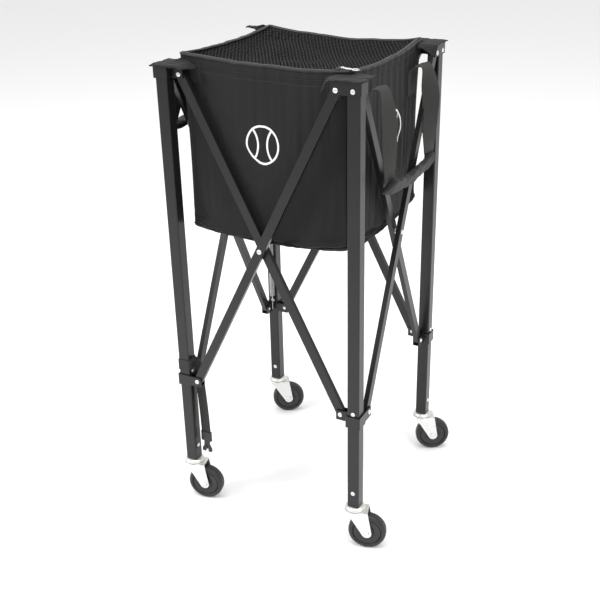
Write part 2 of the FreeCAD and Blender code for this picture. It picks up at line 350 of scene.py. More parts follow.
@dataclass(frozen=True)
class Moulded:
    """Moulded plastic or hard rubber with a fine grain and a dusting of wear."""

    name: str
    colour: Colour = (0.022, 0.022, 0.024)
    dusty: Colour = (0.075, 0.073, 0.070)
    roughness: float = 0.5
    dust: float = 0.4

    def material(self) -> bpy.types.Material:
        """Build the finish."""
        g = Graph(self.name, Specular_IOR_Level=0.45)
        grain = g.noise(2600.0, 2.0)
        dust = ((g.noise(70.0, 6.0, 0.7) - 0.45) * 3.0).clamped()
        g.set("Base Color", g.blend(dust * self.dust, self.colour, self.dusty))
        g.set("Roughness", self.roughness + dust * 0.12 + grain * 0.05)
        g.bump(grain, 0.00005, 0.5)
        return g.material


@dataclass(frozen=True)
class Cloth:
    """Woven polyester; a panel may carry a printed ball outline.

    The map holds metres along and up the panel.  The weave is sin(2 pi u / p) sin(2 pi v / p).
    The print is a ring with two seam arcs, circles of radius 1.25 R centred 1.55 R to each side.
    """

    name: str = "basket_cloth"
    colour: Colour = (0.0085, 0.0085, 0.0088)
    pitch: float = 0.0009
    roughness: float = 0.68
    sheen: float = 0.06
    print_at: Optional[tuple[float, float]] = None
    print_radius: float = 0.034

    def _print(self, u: Signal, v: Signal) -> Signal:
        """Mask of the printed ball outline."""
        at, r = self.print_at, self.print_radius
        line, edge = 0.0021, 2600.0

        def ring(cx: float, radius: float) -> Signal:
            """1 on a circle's line, 0 off it."""
            du, dv = u - cx, v - at[1]
            away = abs((du * du + dv * dv).root() - radius)
            return ((line - away) * edge).clamped()

        du, dv = u - at[0], v - at[1]
        inside = ((r - (du * du + dv * dv).root()) * edge).clamped()
        seams = ring(at[0] - 1.55 * r, 1.25 * r).most(ring(at[0] + 1.55 * r, 1.25 * r))
        return ring(at[0], r).most(seams * inside)

    def material(self) -> bpy.types.Material:
        """Build the finish."""
        g = Graph(self.name, Specular_IOR_Level=0.26, Sheen_Weight=self.sheen, Sheen_Roughness=0.4)
        u, v = g.uv()
        k = 2 * math.pi / self.pitch
        weave = (u * k).sin() * (v * k).sin() * 0.5 + 0.5
        slub = g.noise(900.0, 3.0, 0.6, (0.15, 1.0, 1.0), uv=True)
        cloud = g.noise(14.0, 4.0, 0.6)
        lint = ((g.noise(420.0, 2.0, 0.7) - 0.72) * 12.0).clamped()
        shade = cloud * 0.5 + weave * 0.25 + slub * 0.25
        base = g.blend(shade, tuple(c * 0.7 for c in self.colour), tuple(c * 1.7 for c in self.colour))
        base = g.blend(lint * 0.12, base, (0.16, 0.16, 0.16))
        rough = self.roughness + slub * 0.12
        if self.print_at:
            ink = self._print(u, v)
            base = g.blend(ink * (0.9 + weave * 0.1), base, (0.82, 0.82, 0.81))
            rough = rough - ink * 0.15
        g.set("Base Color", base)
        g.set("Roughness", rough)
        g.bump(weave * 0.6 + slub * 0.4, 0.00012, 0.6)
        return g.material


@dataclass(frozen=True)
class KnittedNet:
    """Knitted mesh: holes where three waves 60 degrees apart add up to more than a threshold."""

    name: str = "net"
    colour: Colour = (0.009, 0.009, 0.0094)
    cell: tuple[float, float] = (0.0039, 0.0066)
    thread: float = 0.05

    def material(self) -> bpy.types.Material:
        """Build the finish."""
        g = Graph(self.name, Roughness=0.75, Specular_IOR_Level=0.18)
        u, v = g.uv()
        a, b = (math.pi / c for c in self.cell)
        waves = (u * (2 * a)).cos() + (u * a + v * b).cos() + (u * a - v * b).cos()
        cover = ((self.thread - waves) * 2.4 + 0.5).clamped()
        g.set("Base Color", g.blend(cover * g.noise(500.0, 2.0), self.colour,
                                    tuple(c * 1.6 for c in self.colour)))
        g.set("Alpha", cover)
        g.bump(cover, 0.0003, 0.8)
        return g.material


@dataclass(frozen=True)
class Webbing:
    """Woven webbing: ribs along its length, crossed by the finer picks of the weave."""

    name: str = "webbing"
    colour: Colour = (0.018, 0.018, 0.0155)
    rib: float = 0.0021
    pick: float = 0.0011

    def material(self) -> bpy.types.Material:
        """Build the finish."""
        g = Graph(self.name, Specular_IOR_Level=0.4, Sheen_Weight=0.12, Sheen_Roughness=0.35)
        u, v = g.uv()
        ribs = (u * (2 * math.pi / self.rib)).sin() * 0.5 + 0.5
        picks = (v * (2 * math.pi / self.pick) + ribs * math.pi).sin() * 0.5 + 0.5
        fuzz = g.noise(1500.0, 3.0, 0.7, uv=True)
        g.set("Base Color", g.blend(ribs * 0.5 + picks * 0.25 + fuzz * 0.25,
                                    tuple(c * 0.55 for c in self.colour),
                                    tuple(c * 1.9 for c in self.colour)))
        g.set("Roughness", 0.62 + fuzz * 0.2)
        g.bump(ribs * 0.5 + picks * 0.3 + fuzz * 0.2, 0.00035, 0.7)
        return g.material


# ------------------------------------------------------------------------------------------------
# Surfaces
# ------------------------------------------------------------------------------------------------
@dataclass
class Form:
    """Points in layout mm, with faces as one run of corner numbers and a map value per corner."""

    points: Array
    loops: Array
    counts: Array
    uv: Array

    def joined(self, *others: "Form") -> "Form":
        """This form and the others as one."""
        forms = (self, *others)
        shift = np.cumsum([0] + [len(f.points) for f in forms[:-1]])
        return Form(np.concatenate([f.points for f in forms]),
                    np.concatenate([f.loops + s for f, s in zip(forms, shift)]),
                    np.concatenate([f.counts for f in forms]), np.concatenate([f.uv for f in forms]))

    def moved(self, change: Callable[[Array], Array]) -> "Form":
        """The form with its points changed by a function of the whole array."""
        return Form(change(self.points), self.loops, self.counts, self.uv)

    def turned(self, quarters: float) -> "Form":
        """The form turned about Z by quarters of a circle."""
        return self.moved(lambda p: turn(p, quarters))

    def shifted(self, by: Sequence[float]) -> "Form":
        """The form moved by a vector in mm."""
        return self.moved(lambda p: p + np.asarray(by, float))

    def flipped(self) -> "Form":
        """The form with every face turned round."""
        ends = np.cumsum(self.counts)
        owner = np.repeat(np.arange(len(self.counts)), self.counts)
        order = (ends + ends - self.counts - 1)[owner] - np.arange(len(self.loops))
        return Form(self.points, self.loops[order], self.counts, self.uv[order])

    def outward(self) -> "Form":
        """The closed form with its faces outwards: flipped if sum(p0 . p1 x p2) over its fans is below 0."""
        p = self.points - self.points.mean(0)
        fans = self.counts - 2
        start = np.repeat(np.cumsum(self.counts) - self.counts, fans)
        step = np.arange(len(start)) - np.repeat(np.cumsum(fans) - fans, fans) + 1
        a, b, c = (p[self.loops[start]], p[self.loops[start + step]], p[self.loops[start + step + 1]])
        return self if np.einsum("ij,ij->i", a, np.cross(b, c)).sum() > 0 else self.flipped()


def grid(points: Array, across: Array, along: Array, wrap_rows: bool = False,
         wrap_cols: bool = False) -> Form:
    """Quads over a grid of points; point (i, j) is number i * cols + j.

    Args:
        points: array (rows, cols, 3).
        across: map value of each column, with one more where columns wrap.
        along: map value of each row, with one more where rows wrap.
        wrap_rows: True if the last row meets the first.
        wrap_cols: True if the last column meets the first.

    Returns:
        The form.
    """
    rows, cols = points.shape[:2]
    i, j = np.meshgrid(np.arange(rows - (not wrap_rows)), np.arange(cols - (not wrap_cols)), indexing="ij")
    di, dj = np.array((0, 0, 1, 1)), np.array((0, 1, 1, 0))
    ii, jj = i[..., None] + di, j[..., None] + dj
    uv = np.stack((np.asarray(across)[jj], np.asarray(along)[ii]), -1)
    loops = (ii % rows) * cols + jj % cols
    return Form(points.reshape(-1, 3), loops.reshape(-1), np.full(i.size, 4), uv.reshape(-1, 2))


def capped(form: Form, cols: int) -> Form:
    """Close a tube of wrapped columns with a flat face on its first and last row."""
    last = len(form.points) - cols
    ends = np.concatenate((np.arange(cols)[::-1], last + np.arange(cols)))
    flat = np.zeros((2 * cols, 2))
    return Form(form.points, np.concatenate((form.loops, ends)),
                np.concatenate((form.counts, (cols, cols))), np.concatenate((form.uv, flat)))


def lathe(profile: Sequence[tuple[float, float]], sides: int = 48, ring: bool = False) -> Form:
    """Turn a profile about Z: (r cos a, r sin a, z).

    Args:
        profile: (radius, height) points in mm, in order.
        sides: steps round the axis.
        ring: True if the profile closes on itself, as a tyre's does; otherwise its ends get flat faces.

    Returns:
        A closed form with its faces outwards.
    """
    r, z = np.array(profile, float).T
    a = np.arange(sides) * (2 * math.pi / sides)
    points = np.stack((r[:, None] * np.cos(a), r[:, None] * np.sin(a), np.repeat(z[:, None], sides, 1)), -1)
    around = np.arange(sides + 1) * (2 * math.pi / sides * r.max() / 1000)
    steps = np.hypot(np.diff(r, append=r[0]), np.diff(z, append=z[0]))
    along = np.concatenate(([0], np.cumsum(steps))) / 1000
    made = grid(points, around, along, wrap_rows=ring, wrap_cols=True)
    return (made if ring else capped(made, sides)).outward()


def tube(path: Array, section: Array, side: Sequence[float], closed: bool = False,
         twist: Optional[Array] = None) -> Form:
    """Carry a section along a path: p + a S + b (T x S), with S the side vector made square to T.

    Args:
        path: (n, 3) points in mm.
        section: (m, 2) closed outline (a, b) in mm, or (n, m, 2) if it changes along the path.
        side: direction that S follows, one vector or one per point.
        closed: True if the path is a loop.
        twist: angle in radians that the section turns by at each point.

    Returns:
        A closed form with its faces outwards, mapped in metres round and along.
    """
    path = np.asarray(path, float)
    if closed:
        tangent = np.roll(path, -1, 0) - np.roll(path, 1, 0)
    else:
        tangent = np.gradient(path, axis=0)
    tangent /= np.linalg.norm(tangent, axis=1, keepdims=True)
    s = np.broadcast_to(np.asarray(side, float), path.shape)
    s = s - (s * tangent).sum(1, keepdims=True) * tangent
    s /= np.linalg.norm(s, axis=1, keepdims=True)
    n = np.cross(tangent, s)
    if twist is not None:
        c, w = np.cos(twist)[:, None], np.sin(twist)[:, None]
        s, n = c * s + w * n, c * n - w * s
    section = np.broadcast_to(section, (len(path), *np.shape(section)[-2:]))
    points = path[:, None] + section[..., :1] * s[:, None] + section[..., 1:] * n[:, None]
    outline = section[0]
    steps = np.linalg.norm(np.roll(outline, -1, 0) - outline, axis=1)
    around = np.concatenate(([0], np.cumsum(steps))) / 1000
    steps = np.linalg.norm(np.diff(path, axis=0, append=path[:1] if closed else path[-1:]), axis=1)
    along = np.concatenate(([0], np.cumsum(steps))) / 1000
    made = grid(points, around, along, wrap_rows=closed, wrap_cols=True)
    return (made if closed else capped(made, len(outline))).outward()


def circle(radius: float, sides: int) -> Array:
    """A round section: radius (cos a, sin a)."""
    a = np.arange(sides) * (2 * math.pi / sides)
    return radius * np.stack((np.cos(a), np.sin(a)), -1)


def slab(width: float, thick: float, round_by: float, steps: int = 4, flat: int = 1) -> Array:
    """A rectangular section with round corners.

    Args:
        width: size along the first axis, mm.
        thick: size along the second, mm.
        round_by: corner radius, mm.
        steps: points per corner, less one.
        flat: stretches that each long side is split into.

    Returns:
        (m, 2) outline, anticlockwise.
    """
    a = np.linspace(0, math.pi / 2, steps + 1)
    arc = round_by * np.stack((np.cos(a), np.sin(a)), -1)
    w, t = width / 2 - round_by, thick / 2 - round_by
    turned_arcs = [arc @ np.array(((c, s), (-s, c))) for c, s in ((1, 0), (0, 1), (-1, 0), (0, -1))]
    corners = [q + at for q, at in zip(turned_arcs, ((w, t), (-w, t), (-w, -t), (w, -t)))]
    inner = np.linspace(w, -w, flat + 1)[1:-1, None]
    top = np.concatenate((inner, np.full_like(inner, thick / 2)), 1)
    return np.concatenate((corners[0], top, corners[1], corners[2], -top, corners[3]))


def smooth_path(knots: Sequence[Sequence[float]], count: int) -> Array:
    """A smooth line through knots: Catmull-Rom pieces, resampled to even steps.

    Args:
        knots: points the line passes.
        count: number of points returned.

    Returns:
        (count, 3) points.
    """
    k = np.asarray(knots, float)
    k = np.concatenate((2 * k[:1] - k[1:2], k, 2 * k[-1:] - k[-2:-1]))
    t = np.linspace(0, 1, 24, endpoint=False)[:, None]
    a, b, c, d = k[:-3, None], k[1:-2, None], k[2:-1, None], k[3:, None]
    line = 0.5 * (2 * b + (c - a) * t + (2 * a - 5 * b + 4 * c - d) * t ** 2
                  + (3 * b - a - 3 * c + d) * t ** 3)
    line = np.concatenate((line.reshape(-1, k.shape[1]), k[-2:-1]))
    far = np.concatenate(([0], np.cumsum(np.linalg.norm(np.diff(line, axis=0), axis=1))))
    even = np.linspace(0, far[-1], count)
    return np.stack([np.interp(even, far, line[:, n]) for n in range(line.shape[1])], -1)


def along_axis(form: Form, at: Sequence[float], axis: Sequence[float]) -> Form:
    """A form drawn about Z, carried to `at` with its Z along `axis`."""
    spin = np.array(Vector((0, 0, 1)).rotation_difference(Vector(axis)).to_matrix())
    return form.moved(lambda p: p @ spin.T + np.asarray(at, float))


# ------------------------------------------------------------------------------------------------
# Pieces
# ------------------------------------------------------------------------------------------------
def mesh_from(name: str, form: Form) -> bpy.types.Mesh:
    """Put a form into a new mesh, in metres in the shared frame."""
    mesh = bpy.data.meshes.new(name)
    mesh.vertices.add(len(form.points))
    mesh.vertices.foreach_set("co", row(form.points).astype(np.float32).ravel())
    mesh.loops.add(len(form.loops))
    mesh.loops.foreach_set("vertex_index", form.loops.astype(np.int32))
    mesh.polygons.add(len(form.counts))
    starts = (np.cumsum(form.counts) - form.counts).astype(np.int32)
    mesh.polygons.foreach_set("loop_start", starts)
    mesh.uv_layers.new(name="UVMap").data.foreach_set("uv", form.uv.astype(np.float32).ravel())
    mesh.update(calc_edges=True)
    mesh.validate()
    return mesh


@dataclass
class Maker:
    """Makes pieces of the cart and puts them on their bodies."""

    finishes: dict[str, bpy.types.Material] = field(default_factory=dict)

    def finish(self, kind: object) -> bpy.types.Material:
        """The material of a finish, built once."""
        name = kind.name
        if name not in self.finishes:
            self.finishes[name] = kind.material()
        return self.finishes[name]

    def piece(self, name: str, form: Form, kind: object, body: str, nodes: Iterable[str] = (),
              slot: str = "", sharp: float = 38.0, bevel: float = 0.0) -> bpy.types.Object:
        """Make one piece.

        Args:
            name: the piece's name.
            form: its shape in layout mm.
            kind: its finish.
            body: the CAD body it moves with.
            nodes: CAD nodes it stands for.
            slot: the record's material slot; not used.
            sharp: edges turning by more than this many degrees stay crisp.
            bevel: width in mm by which crisp edges are broken.

        Returns:
            The new object.
        """
        mesh = mesh_from(name, form)
        mesh.materials.append(self.finish(kind))
        mesh.polygons.foreach_set("use_smooth", np.ones(len(mesh.polygons), bool))
        mesh.set_sharp_from_angle(angle=math.radians(sharp))
        made = bpy.data.objects.new(name, mesh)
        bpy.context.scene.collection.objects.link(made)
        if bevel:
            edge = made.modifiers.new("broken_edges", "BEVEL")
            edge.width, edge.segments, edge.limit_method = bevel / 1000, 2, "ANGLE"
            edge.angle_limit = math.radians(sharp)
            edge.harden_normals = True
        if nodes:
            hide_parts(*nodes)
        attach(made, body)
        log.info("%s: %d faces on %s", name, len(form.counts), body)
        return made

    def dress(self, node: str, kind: object) -> None:
        """Give a CAD node its finish."""
        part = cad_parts[node]
        part.data.materials.clear()
        part.data.materials.append(self.finish(kind))
        log.info("%s: CAD shape, finish %s", node, kind.name)


# ------------------------------------------------------------------------------------------------
# Frame fittings
# ------------------------------------------------------------------------------------------------
ZINC = Zinc()
COAT = PowderCoat()
NYLON = Moulded("black_nylon", (0.020, 0.020, 0.021), roughness=0.42, dust=0.25)


@dataclass(frozen=True)
class Head:
    """One rivet head: where it sits on its face, which way it looks, and its size in mm."""

    at: tuple[float, float, float]
    axis: tuple[float, float, float]
    radius: float
    high: float

    def form(self) -> Form:
        """A dome with the small pit a drawn stem leaves: a profile turned about the axis."""
        r, h = self.radius, self.high
        profile = [(r, 0.0), (r, 0.22 * h), (0.95 * r, 0.45 * h), (0.83 * r, 0.70 * h), (0.64 * r, 0.90 * h),
                   (0.42 * r, h), (0.34 * r, 0.97 * h), (0.30 * r, 0.80 * h), (0.28 * r, 0.40 * h)]
        return along_axis(lathe(profile, 28), self.at, self.axis)

    def on_other_face(self) -> "Head":
        """The same head mirrored to the neighbouring face: (x, y) becomes (-y, -x)."""
        (x, y, z), (a, b, c) = self.at, self.axis
        return Head((-y, -x, z), (-b, -a, c), self.radius, self.high)


@dataclass
class Rivets:
    """Rivet heads on the legs, brackets, collars and bar crossings."""

    pivot_off: float = 32.4
    pivot_top: float = 853.0
    pivot_low: float = 204.0
    stop_z: float = 218.5
    caster_z: float = 31.0
    half_cap: float = 15.5
    half_leg: float = 12.5
    outer: tuple[float, float] = (-15.5, 0.5)
    inner: tuple[float, float] = (-2.0, 14.0)
    crossing: float = 528.5

    def _pin(self, faces: tuple[float, float], z: float) -> list[Head]:
        """Both heads of a pivot pin through one clevis."""
        x = -self.pivot_off
        return [Head((x, faces[0], z), (0, -1, 0), 5.0, 2.3), Head((x, faces[1], z), (0, 1, 0), 4.0, 1.4)]

    def _through(self, half: float, z: float, ends: tuple[int, ...] = (-1, 1)) -> list[Head]:
        """Heads of a rivet through a leg, on the faces given by ends."""
        return [Head((0, s * half, z), (0, s, 0), 4.6, 2.1) for s in ends]

    def leg_heads(self) -> list[Head]:
        """Heads carried by one leg, drawn for the front-right one."""
        return (self._through(self.half_cap, self.pivot_top, (-1,))
                + self._through(self.half_leg, self.stop_z)
                + self._through(self.half_leg, self.caster_z) + self._pin(self.outer, self.pivot_top)
                + [h.on_other_face() for h in self._pin(self.inner, self.pivot_top)])

    def collar_heads(self) -> list[Head]:
        """Heads carried by one collar, drawn for the front-right one."""
        return (self._pin(self.inner, self.pivot_low)
                + [h.on_other_face() for h in self._pin(self.outer, self.pivot_low)])

    def crossing_form(self) -> Form:
        """Heads and spacer where two bars cross, drawn for the front."""
        y0, y1, z = -HALF_SPACING - 12.7, -HALF_SPACING + 11.2, self.crossing
        spacer = along_axis(lathe([(7.0, -1.5), (7.0, 1.5)], 32), (0, -HALF_SPACING - 0.75, z), (0, 1, 0))
        return Head((0, y0, z), (0, -1, 0), 5.2, 2.3).form().joined(
            Head((0, y1, z), (0, 1, 0), 4.5, 1.6).form(), spacer)

    def build(self, maker: Maker, spring_hook: Form) -> None:
        """Make the rivets of every leg, collar and crossing.

        Args:
            maker: makes the pieces.
            spring_hook: the spring's lower hook, which the back-left collar carries.
        """
        for corner in Corner:
            for node, heads, body in (("leg_rivets", self.leg_heads(), corner.body),
                                      ("collar_rivets", self.collar_heads(),
                                       corner.body.replace("leg", "collar"))):
                forms = [h.form() for h in heads]
                form = forms[0].joined(*forms[1:]).turned(corner.value).shifted(corner.centre)
                if node == "collar_rivets" and corner is Corner.BL:
                    form = form.joined(spring_hook)
                name = f"{node}_{corner.tag}"
                maker.piece(name + "_heads", form, ZINC, body, [name], "zinc", sharp=60)
        parents = {"front": "inner", "left": "outer", "right": "inner", "back": "outer"}
        for side in Side:
            maker.piece(f"crossing_rivet_{side.tag}", self.crossing_form().turned(side.value), ZINC,
                        f"{side.tag}_{parents[side.tag]}_bar", [f"centre_rivet_{side.tag}"], "zinc", sharp=60)


@dataclass
class Steelwork:
    """Legs, brackets, collars and bars, which keep their CAD shapes."""

    def build(self, maker: Maker) -> None:
        """Give the CAD parts their powder coat."""
        for corner in Corner:
            for node in ("leg", "bracket", "collar"):
                maker.dress(f"{node}_{corner.tag}", COAT)
        for side in Side:
            for node in ("bar_outer", "bar_inner"):
                maker.dress(f"{node}_{side.tag}", COAT)


@dataclass
class Caster:
    """One swivel caster, drawn about its stem with the wheel trailing towards +X, in mm."""

    corner: Corner
    trail: float = 25.6
    axle_z: float = -63.5
    wheel_radius: float = 39.5
    half_width: float = 12.0
    cheek_gap: float = 13.6
    cheek: float = 2.2
    end: float = 10.2

    @property
    def heading(self) -> float:
        """Direction in degrees from +X in which this caster's wheel trails."""
        return {Corner.FR: 15.6, Corner.BR: 29.1, Corner.BL: 30.9, Corner.FL: 11.0}[self.corner]

    def race(self) -> Form:
        """Fixed upper race, stem and the stem's riveted end."""
        upper = lathe([(12.5, -2.5), (15.5, -2.7), (18.6, -4.0), (20.4, -6.2), (21.0, -8.4), (20.6, -9.5),
                       (18.0, -9.6)], 56)
        stem = lathe([(5.0, -9.6), (5.0, -14.6), (7.6, -14.7), (8.0, -15.4), (7.2, -17.0), (4.0, -17.4)], 32)
        return upper.joined(stem)

    def flange(self) -> Form:
        """Foot of the plastic plug that closes the leg."""
        path = np.array(((0, 0, -2.5), (0, 0, -0.05)))
        return tube(path, slab(25.0, 25.0, 2.6, 5), (1, 0, 0))

    def fork(self) -> Form:
        """Crown with the lower race, bent cheeks and the axle's ends.

        A cheek is the outline of its edge at two depths; the outline tapers from the crown's plate to a
        round end about the axle, between the tangents from the plate's two corners.
        """
        crown = lathe([(5.05, -10.25), (19.8, -10.25), (22.0, -10.6), (22.6, -11.6), (22.2, -12.6),
                       (20.0, -14.0), (17.0, -14.4), (5.05, -14.4)], 56, ring=True)
        a = np.radians(np.linspace(8.7, -145.5, 20))
        end = np.stack((self.trail + self.end * np.cos(a), self.axle_z + self.end * np.sin(a)), -1)
        top = np.array(((-18.0, -16.5), (-17.2, -13.6), (-14.5, -12.2), (5.0, -12.0), (24.5, -12.2),
                        (27.2, -13.4), (28.2, -16.5)))
        back = np.array(((-6.0, -30.6), (-13.0, -23.3)))
        outline = np.concatenate((top, end, back))
        forms = [crown]
        for s in (-1, 1):
            y = s * (self.cheek_gap + self.cheek / 2)
            steps = np.array((-0.5, -0.5, 0.5, 0.5)) * self.cheek
            shrink = np.array((0.35, 0.0, 0.0, 0.35))
            mid = outline.mean(0)
            rows = [np.stack((outline[:, 0] + (mid[0] - outline[:, 0]) * k * 0.04,
                              np.full(len(outline), y + d),
                              outline[:, 1] + (mid[1] - outline[:, 1]) * k * 0.04), -1)
                    for d, k in zip(steps, shrink)]
            n = len(outline) + 1
            forms.append(capped(grid(np.stack(rows), np.zeros(n), np.zeros(4), wrap_cols=True),
                                len(outline)).outward())
            forms.append(along_axis(lathe([(6.9, 0), (6.9, 0.5), (6.2, 0.9)], 40),
                                    (self.trail, s * (self.cheek_gap + self.cheek), self.axle_z), (0, s, 0)))
        deep = self.cheek_gap + self.cheek
        bridge = [box_form((-17.0, 27.0), (-deep, -8.0), (-14.2, -12.0)),
                  box_form((-17.0, 27.0), (8.0, deep), (-14.2, -12.0)),
                  box_form((14.0, 27.6), (-deep + 1.0, deep - 1.0), (-14.2, -12.1), 1.5)]
        face = self.cheek_gap + self.cheek + 0.9
        nut = lathe([(6.4, 0), (6.4, 3.4), (5.6, 4.0)], 6)
        screw = lathe([(6.2, 0), (6.2, 1.2), (5.4, 2.6), (3.4, 3.4), (1.8, 3.5), (1.6, 2.2)], 32)
        shaft = lathe([(4.0, -face), (4.0, face)], 24)
        return forms[0].joined(*forms[1:], *bridge,
                               along_axis(nut, (self.trail, face, self.axle_z), (0, 1, 0)),
                               along_axis(screw, (self.trail, -face, self.axle_z), (0, -1, 0)),
                               along_axis(shaft, (self.trail, 0, self.axle_z), (0, 1, 0)))

    def wheel(self) -> tuple[Form, Form]:
        """Tyre and centre of the wheel, as profiles turned about the axle.

        Returns:
            The tyre with its round shoulders, and the webbed centre with its boss.
        """
        w, r = self.half_width, self.wheel_radius
        tyre_side = [(29.6, w - 1.9), (30.3, w - 0.7), (31.6, w - 0.1), (34.6, w - 0.2), (36.8, w - 1.5),
                     (38.4, w - 3.6), (r - 0.2, w - 6.2), (r, w - 8.4)]
        tyre = tyre_side + [(a, -z) for a, z in reversed(tyre_side)] + [(28.9, -w + 4.0), (28.9, w - 4.0)]
        hub_side = [(4.1, w + 1.1), (8.4, w + 1.1), (9.4, w + 0.3), (10.2, w - 3.0), (11.6, w - 4.2),
                    (13.4, w - 4.0), (15.0, w - 2.5), (17.0, w - 2.0), (24.0, w - 1.5), (27.6, w - 1.4),
                    (28.9, w - 2.2), (29.8, w - 3.6), (29.9, w - 5.4)]
        hub = hub_side + [(a, -z) for a, z in reversed(hub_side)]
        place = (self.trail, 0, self.axle_z)
        return (along_axis(lathe(tyre, 72, ring=True), place, (0, 1, 0)),
                along_axis(lathe(hub, 64, ring=True), place, (0, 1, 0)))

    def build(self, maker: Maker) -> None:
        """Make the caster."""
        corner = self.corner
        rubber = Moulded("wheel_tyre", (0.013, 0.013, 0.014), (0.050, 0.049, 0.047),
                         roughness=0.40, dust=0.35)
        centre = Moulded("wheel_centre", (0.016, 0.016, 0.017), (0.055, 0.054, 0.052),
                         roughness=0.36, dust=0.3)
        spin = self.heading / 90.0

        def placed(form: Form, turns: float) -> Form:
            """Carry a form to the leg."""
            return form.turned(turns).shifted(corner.centre)

        tag = corner.tag
        maker.piece(f"caster_race_{tag}", placed(self.race(), 0), ZINC, corner.body,
                    [f"caster_socket_{tag}"], "zinc")
        maker.piece(f"leg_plug_{tag}", placed(self.flange(), 0), NYLON, corner.body, slot="black_plastic")
        maker.piece(f"caster_fork_{tag}_plate", placed(self.fork(), spin), ZINC, f"caster_fork_{tag}",
                    [f"fork_{tag}"], "zinc", sharp=32, bevel=0.35)
        tyre, hub = self.wheel()
        maker.piece(f"tyre_{tag}", placed(tyre, spin), rubber, f"caster_wheel_{tag}", [f"wheel_{tag}"],
                    "wheel_rubber")
        maker.piece(f"wheel_centre_{tag}", placed(hub, spin), centre, f"caster_wheel_{tag}",
                    slot="wheel_rubber", sharp=30)


def box_form(x: tuple[float, float], y: tuple[float, float], z: tuple[float, float],
             round_by: float = 0.3) -> Form:
    """A small block with its upright edges rounded.

    Args:
        x: low and high x in mm.
        y: low and high y.
        z: low and high z.
        round_by: corner radius.

    Returns:
        A closed form.
    """
    middle = ((x[0] + x[1]) / 2, (y[0] + y[1]) / 2)
    path = np.array(((*middle, z[0]), (*middle, z[1])))
    return tube(path, slab(x[1] - x[0], y[1] - y[0], round_by, 3), (1, 0, 0))


# ------------------------------------------------------------------------------------------------
# Cloth
# ------------------------------------------------------------------------------------------------
@dataclass(frozen=True)
class Settling:
    """How a held sheet is let go: a cloth simulation, run and then kept as a shape.

    spare is how much longer the cloth is cut than the place it hangs in, and cap the furthest in mm
    that a point may move.
    """

    frames: int = 22
    mass: float = 0.3
    tension: float = 18.0
    bending: float = 0.6
    spare: float = 0.01
    gravity: float = 1.0
    cap: float = 8.0
    quality: int = 5

    def run(self, form: Form, held: Array) -> Array:
        """Let the form settle.

        Args:
            form: the sheet in layout mm.
            held: 0 to 1 for each point, 1 where it can't move.

        Returns:
            The settled points in mm.
        """
        mesh = mesh_from("settling", form)
        body = bpy.data.objects.new("settling", mesh)
        bpy.context.scene.collection.objects.link(body)
        pins = body.vertex_groups.new(name="held")
        for level in np.unique(held.round(2)):
            if level > 0:
                pins.add(np.flatnonzero(held.round(2) == level).tolist(), float(level), "REPLACE")
        cloth = body.modifiers.new("cloth", "CLOTH")
        how = cloth.settings
        how.quality, how.mass = self.quality, self.mass
        how.tension_stiffness = how.compression_stiffness = self.tension
        how.shear_stiffness, how.bending_stiffness = self.tension * 0.3, self.bending
        how.vertex_group_mass, how.pin_stiffness = "held", 5.0
        how.shrink_min = -self.spare
        how.effector_weights.gravity = self.gravity
        cloth.point_cache.frame_start, cloth.point_cache.frame_end = 1, self.frames
        for number in range(1, self.frames + 1):
            bpy.context.scene.frame_set(number)
        done = body.evaluated_get(bpy.context.evaluated_depsgraph_get()).data
        points = np.empty(len(done.vertices) * 3, np.float32)
        done.vertices.foreach_get("co", points)
        points = points.reshape(-1, 3) * 1000.0 - OFFSET
        bpy.data.objects.remove(body)
        bpy.data.meshes.remove(mesh)
        bpy.context.scene.frame_set(1)
        move = points - form.points
        far = np.linalg.norm(move, axis=1, keepdims=True)
        return form.points + move * np.minimum(1.0, self.cap / np.maximum(far, 1e-6))


def ripple(a: Array, b: Array, seed: int, waves: int = 14, longest: float = 90.0,
           shortest: float = 14.0) -> Array:
    """Soft random waves: the mean of sin(2 pi (a cos t + b sin t) / L + phase), long ones strongest.

    Args:
        a: first coordinate in mm.
        b: second coordinate in mm.
        seed: picks the directions and phases.
        waves: how many waves are added.
        longest: longest wavelength in mm.
        shortest: shortest wavelength in mm.

    Returns:
        Heights of about -1 to 1.
    """
    rng = np.random.default_rng(seed)
    lengths = np.geomspace(longest, shortest, waves)
    turns, phases = rng.uniform(0, math.pi, waves), rng.uniform(0, 2 * math.pi, waves)
    weights = (lengths / longest) ** 0.9
    total = sum(w * np.sin(2 * math.pi * (a * math.cos(t) + b * math.sin(t)) / l + p)
                for w, t, l, p in zip(weights, turns, lengths, phases))
    return total / weights.sum() * 1.8


BASKET_CLOTH = Cloth()
PIPING = Cloth("piping", (0.017, 0.017, 0.018), pitch=0.0012, roughness=0.55)


